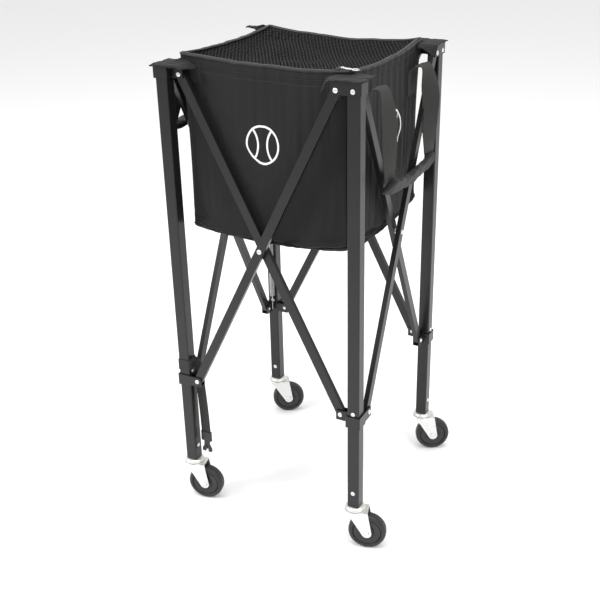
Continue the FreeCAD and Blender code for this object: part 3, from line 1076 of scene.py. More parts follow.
@dataclass
class Basket:
    """The cloth basket: one lofted shell, let sag and then cut at its corner seams.

    The shell's plan is a square of half size h with corners of radius c.  s runs 0 to 4 round it from
    the front-left corner and t from 0 at the bottom to 1 at the rim.
    """

    half: float = 173.0
    corner: float = 12.0
    rim_corners: tuple[float, float, float, float] = (886.0, 877.0, 877.0, 884.0)
    rim_sag: tuple[float, float, float, float] = (7.0, 12.0, 13.0, 8.0)
    low_corner: float = 549.0
    low_sag: float = 14.0
    per_side: int = 84
    rows: int = 72
    keep: float = 0.165
    shell: Array = field(init=False)

    def plan(self, s: Array, half: Union[float, Array]) -> Array:
        """Plan of the shell: straight runs joined by quarter circles, by length along the outline."""
        c = self.corner
        run, arc = 2 * (half - c), c * math.pi / 2
        side, f = np.floor(s) % 4, s - np.floor(s)
        far = f * (run + arc) - arc / 2
        bend = np.where(far < 0, far / c, np.where(far > run, (far - run) / c, 0.0))
        x = np.clip(far, 0, run) - run / 2 + c * np.sin(bend)
        y = -half + c - c * np.cos(bend)
        a = side * math.pi / 2
        return np.stack((x * np.cos(a) - y * np.sin(a), x * np.sin(a) + y * np.cos(a)), -1)

    def rim(self, s: Array) -> Array:
        """Height of the rim: corner heights joined smoothly, less a sag of 4 f (1 - f), plus soft waves."""
        side, f = (np.floor(s) % 4).astype(int), s - np.floor(s)
        ends = np.array(self.rim_corners)
        ease = f * f * (3 - 2 * f)
        wave = 1.5 * ripple(s * 348.0, np.zeros_like(s), 77, longest=110, shortest=24)
        wave = wave * np.sin(math.pi * f) ** 0.5
        return (ends[side] * (1 - ease) + ends[(side + 1) % 4] * ease + wave
                - np.array(self.rim_sag)[side] * (4 * f * (1 - f)) ** 0.8)

    def bottom(self, s: Array) -> Array:
        """Height of the bottom seam, which sags between its corners."""
        f = s - np.floor(s)
        return self.low_corner - self.low_sag * (4 * f * (1 - f)) ** 0.7

    def point(self, s: Array, t: Array) -> Array:
        """The shell before it settles: the plan, flared by the rim, with height from bottom to rim."""
        half = self.half - 1.5 + 3.5 * t ** 3 - 2.0 * np.sin(math.pi * t)
        xy = self.plan(s, half)
        z = self.bottom(s) * (1 - t) + self.rim(s) * t
        return np.concatenate((xy, z[..., None]), -1)

    def _crumple(self, s: Array, t: Array) -> Array:
        """Wrinkles in mm: folds that fall from the rim's corners, and soft waves in between."""
        f = s - np.floor(s)
        a, b = s * 348.0, t * 330.0
        near = np.minimum(f, 1 - f)
        fan = np.sin((near * 348.0 * 0.9 - (1 - t) * 330.0 * 0.42) / 7.5) * np.exp(-near * 6.0) * t ** 2
        puckers = np.sin(a / 4.6 + 2.0 * ripple(a, b, 5)) * np.exp(-(1 - t) * 16.0)
        hem = np.sin(a / 6.5 + 3.0 * ripple(a, b, 8)) * np.exp(-t * 14.0)
        edge = np.minimum(1.0, near * 12.0)
        drape = np.sin(a / 8.5 + 1.8 * ripple(a, b, 12, longest=160)) * (1 - t) ** 0.8 * np.minimum(1, t * 5)
        return (1.7 * fan + 0.9 * puckers + 1.1 * hem + 1.3 * drape
                + 2.3 * ripple(a, b, 3) * np.sin(math.pi * t)) * edge

    def settle(self) -> None:
        """Work out the whole shell: crumple it, let it sag between rim and bottom seam."""
        count = 4 * self.per_side
        s, t = np.meshgrid(np.arange(count) / self.per_side, np.linspace(0, 1, self.rows))
        base = self.point(s, t)
        out = self.point(s, t) * np.array((1.0, 1.0, 0.0))
        out /= np.linalg.norm(out, axis=-1, keepdims=True)
        base = base + out * self._crumple(s, t)[..., None]
        form = grid(base, np.arange(count + 1) / self.per_side * 0.348, np.linspace(0, 0.33, self.rows),
                    wrap_cols=True)
        held = np.zeros((self.rows, count))
        held[-2:], held[0] = 1.0, 1.0
        points = Settling(frames=18, spare=0.012, cap=7.5, bending=0.5).run(form, held.ravel())
        near = np.minimum(s - np.floor(s), 1 - s + np.floor(s))
        stiff = (0.9 * np.exp(-near * 348.0 / 16.0) * (1 - 0.5 * t))[..., None]
        self.shell = points.reshape(self.rows, count, 3) * (1 - stiff) + base * stiff

    def at(self, s: Array, t: Array, lift: float = 0.0) -> Array:
        """Points on the settled shell, moved outwards by lift mm, by bilinear look-up."""
        count = self.shell.shape[1]
        i, j = np.clip(t, 0, 1) * (self.rows - 1), (s % 4) * self.per_side
        i0, j0 = np.minimum(i.astype(int), self.rows - 2), j.astype(int) % count
        fi, fj = (i - i0)[..., None], (j - np.floor(j))[..., None]
        j1 = (j0 + 1) % count
        p = ((self.shell[i0, j0] * (1 - fj) + self.shell[i0, j1] * fj) * (1 - fi)
             + (self.shell[i0 + 1, j0] * (1 - fj) + self.shell[i0 + 1, j1] * fj) * fi)
        if lift:
            side = np.floor(s) % 4 * math.pi / 2
            f = s - np.floor(s)
            a = side - math.pi / 2 + np.clip((f - 0.97) / 0.06, 0, 0.5) * math.pi / 2 \
                - np.clip((0.03 - f) / 0.06, 0, 0.5) * math.pi / 2
            p = p + lift * np.stack((np.cos(a), np.sin(a), np.zeros_like(a)), -1)
        return p

    def follow(self, piece: bpy.types.Object, side: Side) -> None:
        """Give a piece of one wall its own copy of its mesh; the corner it would start from is worked out but
        not used.
        """
        start = turn(np.array((-self.half - 1.0, -self.half, 700.0)), side.value)
        direction = turn(np.array((1.0, 0.0, 0.0)), side.value)
        squash_to = {Side.FRONT: False, Side.RIGHT: False, Side.BACK: True, Side.LEFT: True}[side]
        if squash_to:
            start = turn(np.array((self.half + 1.0, -self.half, 700.0)), side.value)
        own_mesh(piece)

    def body(self, side: Side) -> str:
        """The CAD body that carries a wall."""
        return {Side.FRONT: "leg_front_left", Side.RIGHT: "leg_front_right",
                Side.BACK: "leg_back_left", Side.LEFT: "leg_front_left"}[side]

    def _wall(self, maker: Maker, side: Side) -> bpy.types.Object:
        """One wall: the shell between two corner seams, as a sheet of cloth."""
        n = self.per_side
        columns = (np.arange(n + 1) + side.value * n) % (4 * n)
        form = grid(self.shell[:, columns], np.linspace(0, 0.348, n + 1), np.linspace(0, 0.33, self.rows))
        kind = {Side.FRONT: Cloth("basket_cloth_front", print_at=(0.172, 0.192)),
                Side.RIGHT: Cloth("basket_cloth_right", print_at=(0.205, 0.196))}.get(side, BASKET_CLOTH)
        wall = maker.piece(f"basket_wall_{side.tag}", form, kind, self.body(side),
                           [f"bag_wall_{side.tag}"], "basket_cloth", sharp=180)
        skin = wall.modifiers.new("cloth_thickness", "SOLIDIFY")
        skin.thickness, skin.offset = 0.0008, -1.0
        self.follow(wall, side)
        return wall

    def _line(self, side: Side, s: Array, t: Array, lift: float) -> Array:
        """A line on one wall; s runs 0 to 1 along that wall."""
        return self.at(np.minimum(s + side.value, side.value + 0.99999), t, lift)

    def _trims(self, maker: Maker, side: Side) -> list[bpy.types.Object]:
        """Piping along the rim, bottom and corner, two rows of stitching and the rim's binding."""
        made = []
        f = np.linspace(0.0, 1.0, 150)
        rim = self._line(side, f, np.full_like(f, 1.0), 0.8)
        low = self._line(side, f, np.full_like(f, 0.0), 0.6)
        low_top = self._line(side, f, 0.021 + 0.003 * np.sin(f * 40.0), 0.9)
        t = np.linspace(0.0, 1.0, 90)
        seam = self._line(side, np.zeros_like(t), t, 0.6)
        up = (0, 0, 1)
        cords = tube(rim + (0, 0, 1.0), circle(2.3, 12), up).joined(
            tube(low, circle(2.3, 10), up), tube(low_top, circle(1.1, 8), up),
            tube(seam, circle(1.5, 8), tuple(turn(np.array((1.0, 1.0, 0.0)), side.value))))
        made.append(maker.piece(f"piping_{side.tag}", cords, PIPING, self.body(side), slot="basket_cloth",
                                sharp=60))
        s, across = np.meshgrid(f, np.linspace(0.0, 1.0, 5))
        band = self.at(np.minimum(s + side.value, side.value + 0.99999), 0.962 + 0.038 * across,
                       1.0) + 0.35 * np.sin(across * math.pi)[..., None] * turn(
                           np.array((0.0, -1.0, 0.0)), side.value)
        made.append(maker.piece(f"rim_binding_{side.tag}", grid(band, f * 0.348, 0.013 * across[:, 0]),
                                Cloth("rim_binding", (0.010, 0.010, 0.011), pitch=0.0011), self.body(side),
                                slot="basket_cloth", sharp=180))
        stitches = []
        for level in (0.958, 0.925):
            middles = np.linspace(0.012, 0.988, 96)
            a = np.linspace(0, 2 * math.pi, 7)[:-1]
            long, wide = 1.35 / 348.0, 0.42 / 330.0
            ss, tt = middles[:, None] + long * np.cos(a), level + wide * np.sin(a)
            ring = self._line(side, ss, np.broadcast_to(tt, ss.shape), 1.15 if level > 0.95 else 0.25)
            number = np.arange(ring.size // 3)
            stitches.append(Form(ring.reshape(-1, 3), number, np.full(len(middles), 6),
                                 np.zeros((len(number), 2))))
        thread = Moulded("thread", (0.035, 0.035, 0.036), roughness=0.6, dust=0.2)
        made.append(maker.piece(f"stitching_{side.tag}", stitches[0].joined(stitches[1]), thread,
                                self.body(side), slot="basket_cloth", sharp=180))
        for trim in made:
            self.follow(trim, side)
        return made

    def _floor(self, maker: Maker) -> None:
        """Floor: a sheet whose edge is the bottom seam, sagging by the product of two sines."""
        n = self.per_side
        u, v = np.meshgrid(np.linspace(-1, 1, n + 1), np.linspace(-1, 1, n + 1))
        half = self.half - 2.4
        ring = np.maximum(abs(u), abs(v))
        edge = self.low_corner - self.low_sag * np.maximum(0, 1 - np.minimum(abs(u), abs(v)) ** 2) ** 0.7
        z = edge * ring + (self.low_corner - self.low_sag - 4.0) * (1 - ring) + 0.8
        z = z + 0.9 * ripple(u * half, v * half, 21) * (1 - ring)
        form = grid(np.stack((u * half, v * half, z), -1), u[0] * half / 1000, v[:, 0] * half / 1000)
        floor = maker.piece("basket_floor_panel", form.flipped(), Cloth("floor_cloth", pitch=0.0011),
                            "basket_floor", ["bag_floor"], "basket_cloth", sharp=180)
        skin = floor.modifiers.new("cloth_thickness", "SOLIDIFY")
        skin.thickness, skin.offset = 0.0012, -1.0
        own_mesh(floor)

    def _patch(self, maker: Maker, name: str, side: Side, f: tuple[float, float],
               t: tuple[float, float]) -> None:
        """A reinforcing patch sewn to a wall: part of the shell lifted by its own thickness."""
        s, h = np.meshgrid(np.linspace(*f, 22), np.linspace(*t, 30))
        u, v = np.meshgrid(np.linspace(-1, 1, 22), np.linspace(-1, 1, 30))
        edge = np.minimum(1.0, (1 - np.maximum(abs(u), abs(v))) * 9.0)
        base = self.at(s + side.value, h, 0.2)
        out = turn(np.array((0.0, -1.0, 0.0)), side.value)
        groove = np.exp(-((1 - np.maximum(abs(u), abs(v))) - 0.16) ** 2 / 0.0012)
        points = base + (1.5 * edge - 0.5 * groove)[..., None] * out
        form = grid(points, s[0] * 0.348, h[:, 0] * 0.33)
        patch = maker.piece(name, form, Cloth("patch_cloth", (0.0105, 0.0105, 0.0115), pitch=0.0011),
                            self.body(side), slot="basket_cloth", sharp=180)
        self.follow(patch, side)

    def build(self, maker: Maker) -> None:
        """Make the basket."""
        self.settle()
        for side in Side:
            wall = self._wall(maker, side)
            trims = self._trims(maker, side)
            self._patch(maker, f"corner_patch_{side.tag}_a", side, (0.03, 0.12), (0.855, 0.965))
            self._patch(maker, f"corner_patch_{side.tag}_b", side, (0.88, 0.97), (0.855, 0.965))
        self._floor(maker)


@dataclass
class NetLid:
    """Zipped net lid, held along its edge by the rim and slack in the middle."""

    basket: Basket
    count: int = 72
    inset: float = 3.0

    def build(self, maker: Maker) -> None:
        """Make the lid: the rim's height blended inwards, crumpled, and let sag."""
        b, n = self.basket, self.count
        u, v = np.meshgrid(np.linspace(-1, 1, n + 1), np.linspace(-1, 1, n + 1))
        half = b.half - self.inset
        back = half - 5.5
        x, y = u * half, np.where(v > 0, v * back, v * half)
        front, right = b.rim((u + 1) / 2 * 0.9999), b.rim(1 + (v + 1) / 2 * 0.9999)
        rear, left = b.rim(2 + (1 - u) / 2 * 0.9999), b.rim(3 + (1 - v) / 2 * 0.9999)
        p, q = (u + 1) / 2, (v + 1) / 2
        c = b.rim_corners
        coons = (front * (1 - q) + rear * q + left * (1 - p) + right * p
                 - (c[0] * (1 - p) * (1 - q) + c[1] * p * (1 - q) + c[2] * p * q + c[3] * (1 - p) * q))
        free = (1 - u ** 2) * (1 - v ** 2)
        hump = 9.0 * np.exp(-((u + 0.55) ** 2 + (v - 0.62) ** 2) / 0.10)
        z = coons + 1.2 + hump * np.minimum(1, free * 6) + 4.0 * ripple(x, y, 31, longest=150) * np.sqrt(free)
        form = grid(np.stack((x, y, z), -1), u[0] * half / 1000, v[:, 0] * half / 1000)
        edge = np.maximum(abs(u), abs(v))
        held = np.where(edge > 0.985, 1.0, 0.0)
        points = Settling(frames=22, spare=0.03, cap=17.0, tension=12.0, bending=0.15).run(form, held.ravel())
        form = Form(points, form.loops, form.counts, form.uv)
        lid = maker.piece("net_lid_cloth", form, KnittedNet(), "lid", ["net_lid"], "net", sharp=180)
        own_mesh(lid)
        settled = points.reshape(n + 1, n + 1, 3)
        trims = [self._zip(maker, settled), self._hem(maker, settled)]

    def _zip(self, maker: Maker, settled: Array) -> bpy.types.Object:
        """Zip along the left, front and right edges: a flat tape with two rows of coil."""
        edge = np.concatenate((settled[::-1, 0], settled[0, 1:-1], settled[:, -1]))
        path = smooth_path(edge[::4], 420) + (0, 0, 1.0)
        centre = path.mean(0)
        inward = centre - path
        tape = tube(path, slab(9.0, 0.8, 0.3, 2), inward * (1, 1, 0))
        coils = []
        for shift in (-1.0, 1.0):
            side = inward * (1, 1, 0)
            side /= np.linalg.norm(side, axis=1, keepdims=True)
            wobble = 0.45 + 0.25 * np.sin(np.arange(420) * 2.4)[:, None, None] * np.ones((1, 8, 2))
            coils.append(tube(path + side * shift + (0, 0, 0.7),
                              circle(1.0, 8)[None] * (0.75 + wobble), side))
        maker.piece("zip_coil", coils[0].joined(coils[1]), Moulded("zip_coil", (0.03, 0.03, 0.031),
                    roughness=0.35, dust=0.2), "lid", slot="black_plastic", sharp=60)
        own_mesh(bpy.data.objects["zip_coil"])
        made = maker.piece("zip_tape", tape, Webbing("zip_tape", (0.014, 0.014, 0.014), rib=0.0016),
                           "lid", slot="webbing", sharp=60)
        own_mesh(made)
        return made

    def _hem(self, maker: Maker, settled: Array) -> bpy.types.Object:
        """Strip that joins the lid to the back rim."""
        path = settled[-1] + (0, 2.8, 0.6)
        made = maker.piece("lid_hem_tape", tube(path, slab(6.5, 1.6, 0.6, 3), (0, 1, 0)),
                           Webbing("hem_tape", (0.014, 0.014, 0.014)), "lid_edge", ["lid_hem"], "webbing",
                           sharp=60)
        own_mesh(made)
        return made


@dataclass
class CornerFlaps:
    """Cloth flaps that hang the basket on the brackets, one to a corner, drawn for the front-right."""

    top: float = 869.3
    thick: float = 1.6
    reach: float = 62.0
    across: float = 40.0
    bracket_half: float = 15.6
    ear_end: float = 37.0
    fade: float = 9.0
    tongue_drop: float = 17.0

    def form(self, rise: float, seed: int, lift: float) -> Form:
        """One flap: an L-shaped kite from the basket's corner over the bracket, with two wings.

        Height is the bracket's top, raised towards the basket by rise e^(-d / fade), with a droop that
        grows as the square of the distance past the bracket's edge and past its ears, and a tongue that
        hangs at the end of the first wing.

        Args:
            rise: how far the basket's corner stands above the bracket, mm.
            seed: picks the wrinkles.
            lift: how far the wing along the side stands up, mm.

        Returns:
            The flap's form.
        """
        u, w = np.meshgrid(np.linspace(-1, 1, 60), np.linspace(0, 1, 34))
        inner_a, inner_b = np.array((-self.reach, 16.0)), np.array((-16.0, self.reach))
        corner_in = np.array((-19.0, 19.0))
        outer_a, outer_b, tip = np.array((-58.0, -19.6)), np.array((20.8, 50.0)), np.array((20.0, -19.6))

        def bent(a: Array, b: Array, c: Array) -> Array:
            """Line a, b, c with a soft bend at b; u runs -1 to 1."""
            k = abs(u)[..., None] ** 1.12
            return np.where(u[..., None] < 0, b * (1 - k) + a * k, b * (1 - k) + c * k)

        inner, outer = bent(inner_a, corner_in, inner_b), bent(outer_a, tip, outer_b)
        xy = inner * (1 - w[..., None]) + outer * w[..., None]
        ragged = 1.6 * ripple(u * 60, w * 0, seed + 7, longest=30, shortest=6)
        xy = xy + (w ** 3 * ragged)[..., None] * np.array((0.7, -0.7))
        x, y = xy[..., 0], xy[..., 1]
        away = w * self.across
        past = np.maximum(0, np.maximum(x, -y) - self.bracket_half)
        front, back = np.maximum(0, -x - self.ear_end), np.maximum(0, y - self.ear_end)
        z = self.top + rise * np.exp(-away / self.fade) - 0.09 * past ** 2 - 0.05 * past
        tongue = np.clip((-x - 44.0) / 12.0, 0, 1) * np.clip((8.0 - y) / 24.0, 0, 1)
        droop = 0.0 if lift else 0.020
        z = z - self.tongue_drop * tongue ** 1.4 - 0.010 * front ** 2 - droop * back ** 2
        z = z + lift * np.clip((y - 8.0) / 34.0, 0, 1) ** 0.8
        folds = ripple(x, y, seed, longest=30, shortest=7) + 0.7
        outer_share = np.minimum(1, (front + back) / 12.0 + w)
        z = z + (1.5 * folds + 0.5) * (0.30 + 0.70 * w) * (0.5 + 0.5 * outer_share)
        return grid(np.stack((x, y, z), -1), u[0] * 0.05, w[:, 0] * 0.04)

    def build(self, maker: Maker, basket: Basket) -> None:
        """Make the four flaps."""
        cloth = Cloth("flap_cloth", (0.0090, 0.0090, 0.0095), pitch=0.0012, roughness=0.80)
        order = {Corner.FL: 0, Corner.FR: 1, Corner.BR: 2, Corner.BL: 3}
        for corner in Corner:
            rise = 0.4 * (basket.rim_corners[order[corner]] - self.top - 1.0)
            lift = 14.0 if corner is Corner.BL else 0.0
            form = self.form(rise, 50 + corner.value, lift).turned(corner.value).shifted(corner.centre)
            piece = maker.piece(f"corner_flap_{corner.tag}_cloth", form, cloth, corner.body,
                                [f"corner_flap_{corner.tag}"], "basket_cloth", sharp=180)
            skin = piece.modifiers.new("cloth_thickness", "SOLIDIFY")
            skin.thickness, skin.offset = self.thick / 1000, 0.0
            away = turn(np.array((-1.0, 1.0, 0.0)) / math.sqrt(2.0), corner.value)
            tip = turn(np.array((21.0, -21.0, self.top)), corner.value) + corner.centre
            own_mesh(piece)


# ------------------------------------------------------------------------------------------------
# Handles, strap, spring, slider
# ------------------------------------------------------------------------------------------------
WEBBING = Webbing()


@dataclass(frozen=True)
class CornerPatch:
    """Doubled cloth sewn on the front wall at its top left corner, where the flap is stitched on."""

    outline: tuple[tuple[float, float], ...] = (
        (-164.0, 860.0), (-147.0, 865.0), (-130.0, 838.5), (-141.0, 831.0), (-160.0, 851.0))
    face: float = -175.0

    def build(self, maker: Maker, basket: Basket) -> None:
        """Make the patch: rings shrinking to its middle, with a raised stitched edge."""
        corners = np.array([(x, self.face, z) for x, z in self.outline + self.outline[:1]])
        place = np.linspace(0, len(self.outline), 91)[:-1]
        ring = np.stack([np.interp(place, range(len(corners)), corners[:, k]) for k in range(3)], -1)
        middle = ring.mean(axis=0)
        levels = ((1.0, 0.0), (1.0, 1.6), (0.97, 2.3), (0.92, 1.6), (0.89, 2.2), (0.5, 2.2), (0.0005, 2.2))
        rows = [middle + (ring - middle) * size - np.array((0.0, out, 0.0)) for size, out in levels]
        form = grid(np.array(rows), np.linspace(0, 0.12, 91), np.linspace(0, 0.03, len(rows)), wrap_cols=True)
        cloth = Cloth("patch_cloth", (0.0100, 0.0100, 0.0104), pitch=0.0012)
        piece = maker.piece("corner_patch", form, cloth, basket.body(Side.FRONT), slot="basket_cloth",
                            sharp=60)
        basket.follow(piece, Side.FRONT)


@dataclass
class Handle:
    """One carrying handle: two webbing straps from the wall, over the bars, to a padded sleeve.

    Drawn for the right wall; the left one is turned half round.  The sleeve's knots are points of its
    middle line, and tilt is how far its broad side leans from upright at its two ends.
    """

    side: Side
    straps: tuple[float, float]
    hang: tuple[float, float]
    twists: tuple[tuple[float, float, float], tuple[float, float, float]]
    knots: tuple[tuple[float, float, float], ...]
    tilt: tuple[float, float]
    width: float = 37.0
    thick: float = 1.9
    lean: tuple[float, float] = (3.0, 3.0)
    bend: tuple[float, float] = (218.0, 818.0)
    root_low: float = 776.0
    root_high: float = 827.0

    def strap(self, number: int) -> Form:
        """One strap: a flat section carried down a hanging line and twisted as it falls.

        The twist eases from 0 at the wall through its two middle values to its last one at the sleeve.
        """
        y, low = self.straps[number], self.hang[number]
        out = self.knots[0][0] + (0.0 if number == 0 else self.knots[-1][0] - self.knots[0][0])
        drop = np.linspace(0, 1, 5)[1:]
        bend_x, bend_z = self.bend
        knots = [(177.2, y, 819.0), (178.6, y, 825.5), (184.0, y, 832.5), (195.0, y, 837.0),
                 (209.0, y, 832.5)]
        knots += [(bend_x + (out - bend_x) * d, y + self.lean[number] * d, bend_z + (low - bend_z) * d)
                  for d in drop]
        path = smooth_path(knots, 96)
        w = np.linspace(0, 1, 96)
        twist = np.interp(w, (0.0, 0.16, 0.42, 0.72, 1.0), (0.0, 0.0, *self.twists[number]))
        soft = np.convolve(np.pad(twist, 8, mode="edge"), np.ones(17) / 17, mode="valid")
        return tube(path, slab(self.width, self.thick, 0.7, 3, 9), (0, 1, 0), twist=soft)

    def root(self, number: int) -> Form:
        """The sewn-down end of a strap: a flat length on the wall, a little pillowed between its stitches."""
        z = np.linspace(self.root_low, self.root_high, 40)
        swell = 1.0 + 0.18 * np.sin((z - self.root_low) / (self.root_high - self.root_low) * math.pi * 3)
        path = np.stack((np.full(40, 176.0) + 0.3 * swell, np.full(40, self.straps[number]), z), -1)
        return tube(path, slab(self.width + 1.0, 2.4, 0.8, 3, 9), (0, 1, 0))

    def sleeve(self) -> Form:
        """Padded sleeve: a flattened oval carried along the middle line, swollen between its ends."""
        path = smooth_path(self.knots, 130)
        f = np.linspace(-1, 1, 130)
        a = np.arange(44) * (2 * math.pi / 44)
        wide = 16.5 - 1.3 * f + 0.9 * np.sin(f * 6.0 + 0.4)
        deep = 6.3 + 0.7 * np.sin(f * 8.0 + 1.0)
        close = np.clip((1 - abs(f)) * 30.0, 0.30, 1.0) ** 0.5
        power = 0.66
        shape = np.stack((np.sign(np.cos(a)) * abs(np.cos(a)) ** power,
                          np.sign(np.sin(a)) * abs(np.sin(a)) ** power), -1)
        crease = (1.0 + 0.055 * np.sin(a[None] * 3 + f[:, None] * 9)
                  + 0.05 * np.sin(a[None] * 2 - f[:, None] * 21))
        size = np.stack((wide * (0.86 + 0.14 * close), deep * close), -1)
        twist = np.linspace(*self.tilt, 130)
        return tube(path, shape[None] * crease[..., None] * size[:, None], (0, 0, 1), twist=twist)

    def build(self, maker: Maker, basket: Basket) -> None:
        """Make both straps and the sleeve."""
        quarters = {Side.RIGHT: 0, Side.LEFT: 2}[self.side]
        name, body = self.side.tag, f"{self.side.tag}_handle"
        for n in (0, 1):
            strap = maker.piece(f"handle_strap_{name}_{n + 1}", self.strap(n).turned(quarters), WEBBING, body,
                                [f"handle_{name}"], "webbing", sharp=70)
            self._follow(strap, quarters)
            root = maker.piece(f"handle_root_{name}_{n + 1}", self.root(n).turned(quarters), WEBBING,
                               basket.body(self.side), slot="webbing", sharp=70)
            basket.follow(root, self.side)
        grip = maker.piece(f"handle_grip_{name}", self.sleeve().turned(quarters),
                           Cloth("grip_cloth", (0.0085, 0.0085, 0.0088), pitch=0.0012, roughness=0.6), body,
                           slot="webbing", sharp=180)
        self._follow(grip, quarters)

    @staticmethod
    def _follow(piece: bpy.types.Object, quarters: int) -> None:
        """Give the piece its own copy of its mesh."""
        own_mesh(piece)


HANDLES = (
    Handle(Side.RIGHT, (-104.0, 115.0), (668.0, 662.0), ((0.48, 0.42, 0.10), (0.95, 0.62, 0.12)),
           ((221.0, -110.0, 660.0), (222.0, -92.0, 654.0), (221.0, -56.0, 646.0), (219.5, 0.0, 640.0),
            (218.5, 60.0, 640.0), (217.5, 110.0, 643.5), (217.0, 137.0, 647.5)), (0.62, 0.16)),
    Handle(Side.LEFT, (-84.0, 121.0), (744.0, 741.0), ((0.30, 0.20, 0.05), (0.30, 0.25, 0.05)),
           ((223.0, -104.0, 737.0), (225.0, -70.0, 736.0), (226.0, 20.0, 735.5), (226.0, 110.0, 735.5),
            (226.0, 158.0, 736.0)), (1.42, 1.48), lean=(3.0, 24.0)))


@dataclass
class StorageStrap:
    """Webbing round the front-left leg, its tail hanging behind it with half a buckle on the end."""

    low: float = 225.0
    high: float = 249.0
    thick: float = 1.7
    width: float = 22.5

    def loop(self) -> Form:
        """The turn round the leg: a rounded square path with a flat upright section, a little askew."""
        x, y = Corner.FL.centre[:2]
        half, c = 12.5 + self.thick / 2 + 0.1, 3.0
        a = np.linspace(0, math.pi / 2, 7)
        arc = c * np.stack((np.cos(a), np.sin(a)), -1)
        rings = []
        for q, (sx, sy) in enumerate(((1, 1), (-1, 1), (-1, -1), (1, -1))):
            t = q * math.pi / 2
            spin = np.array(((math.cos(t), math.sin(t)), (-math.sin(t), math.cos(t))))
            rings.append(arc @ spin + np.array((sx, sy)) * (half - c))
        flat = np.concatenate(rings)
        height = (self.low + self.high) / 2 + 0.07 * flat[:, 0] + 0.04 * flat[:, 1]
        path = np.column_stack((flat[:, 0] + x, flat[:, 1] + y, height))
        return tube(path, slab(self.high - self.low, self.thick, 0.6, 3, 6), (0, 0, 1), closed=True)

    def tail(self) -> Form:
        """The hanging end: down beside the leg with a slow wave, drifting outwards."""
        x, y = Corner.FL.centre[0] + 14.1, Corner.FL.centre[1] + 6.2
        knots = [(x + 10.6, y, 240.0), (x + 10.7, y - 0.4, 222.0), (x + 11.6, y - 0.8, 195.0),
                 (x + 13.3, y + 0.5, 155.0), (x + 15.5, y + 0.9, 110.0), (x + 17.5, y, 64.0)]
        return tube(smooth_path(knots, 80), slab(self.width, self.thick, 0.6, 3, 7), (1, 0, 0))

    def tongue(self) -> Form:
        """The doubled-over end that joins the tail to the turn, standing a little proud."""
        x, y = Corner.FL.centre[0] + 12.6, Corner.FL.centre[1] + 6.0
        path = smooth_path([(x, y - 1.6, 238.0), (x + 3.0, y + 0.4, 239.5), (x + 8.0, y + 0.6, 238.5),
                            (x + 12.5, y + 0.3, 235.0)], 20)
        return tube(path, slab(23.0, 3.0, 0.8, 3, 6), (0.18, 0, 1))

    def buckle(self) -> Form:
        """Half of a side-release buckle: a body on the strap, and two prongs that flare to a flat end."""
        x, y = Corner.FL.centre[0] + 31.7, Corner.FL.centre[1] + 6.4
        parts = [box_form((x - 12.6, x + 12.6), (y - 3.4, y + 3.4), (45.0, 66.5), 2.2),
                 box_form((x - 13.0, x + 13.0), (y - 2.6, y + 2.6), (60.5, 67.5), 1.8),
                 box_form((x - 12.2, x + 12.2), (y - 3.9, y + 3.9), (50.0, 56.5), 2.4),
                 box_form((x - 6.4, x + 6.4), (y - 2.6, y + 2.6), (36.0, 46.5), 1.8),
                 box_form((x - 1.3, x + 1.3), (y - 1.9, y + 1.9), (23.0, 37.0), 0.8)]
        for s in (-1, 1):
            line = smooth_path([(x + s * 3.8, y, 40.0), (x + s * 3.9, y, 33.0), (x + s * 5.6, y, 27.5),
                                (x + s * 7.2, y, 23.0), (x + s * 7.4, y, 17.4)], 30)
            swell = np.interp(np.linspace(0, 1, 30), (0.0, 0.35, 0.7, 1.0), (0.62, 0.62, 0.98, 1.0))
            sections = slab(8.2, 5.8, 1.6, 3)[None] * np.stack((swell, np.ones(30)), -1)[:, None]
            parts.append(tube(line, sections, (1, 0, 0)))
        return parts[0].joined(*parts[1:])

    def build(self, maker: Maker) -> None:
        """Make the strap and its buckle."""
        body = Corner.FL.body
        loop = maker.piece("storage_strap_loop", self.loop(), WEBBING, body, ["storage_strap"], "webbing",
                           sharp=70)
        tail = maker.piece("storage_strap_tail", self.tail(), WEBBING, body, slot="webbing", sharp=70)
        maker.piece("storage_strap_tongue", self.tongue(), WEBBING, body, slot="webbing", sharp=70)
        maker.piece("buckle_half", self.buckle(), NYLON, body, slot="black_plastic", sharp=50)
        self.high / 1000 - self.low / 1000


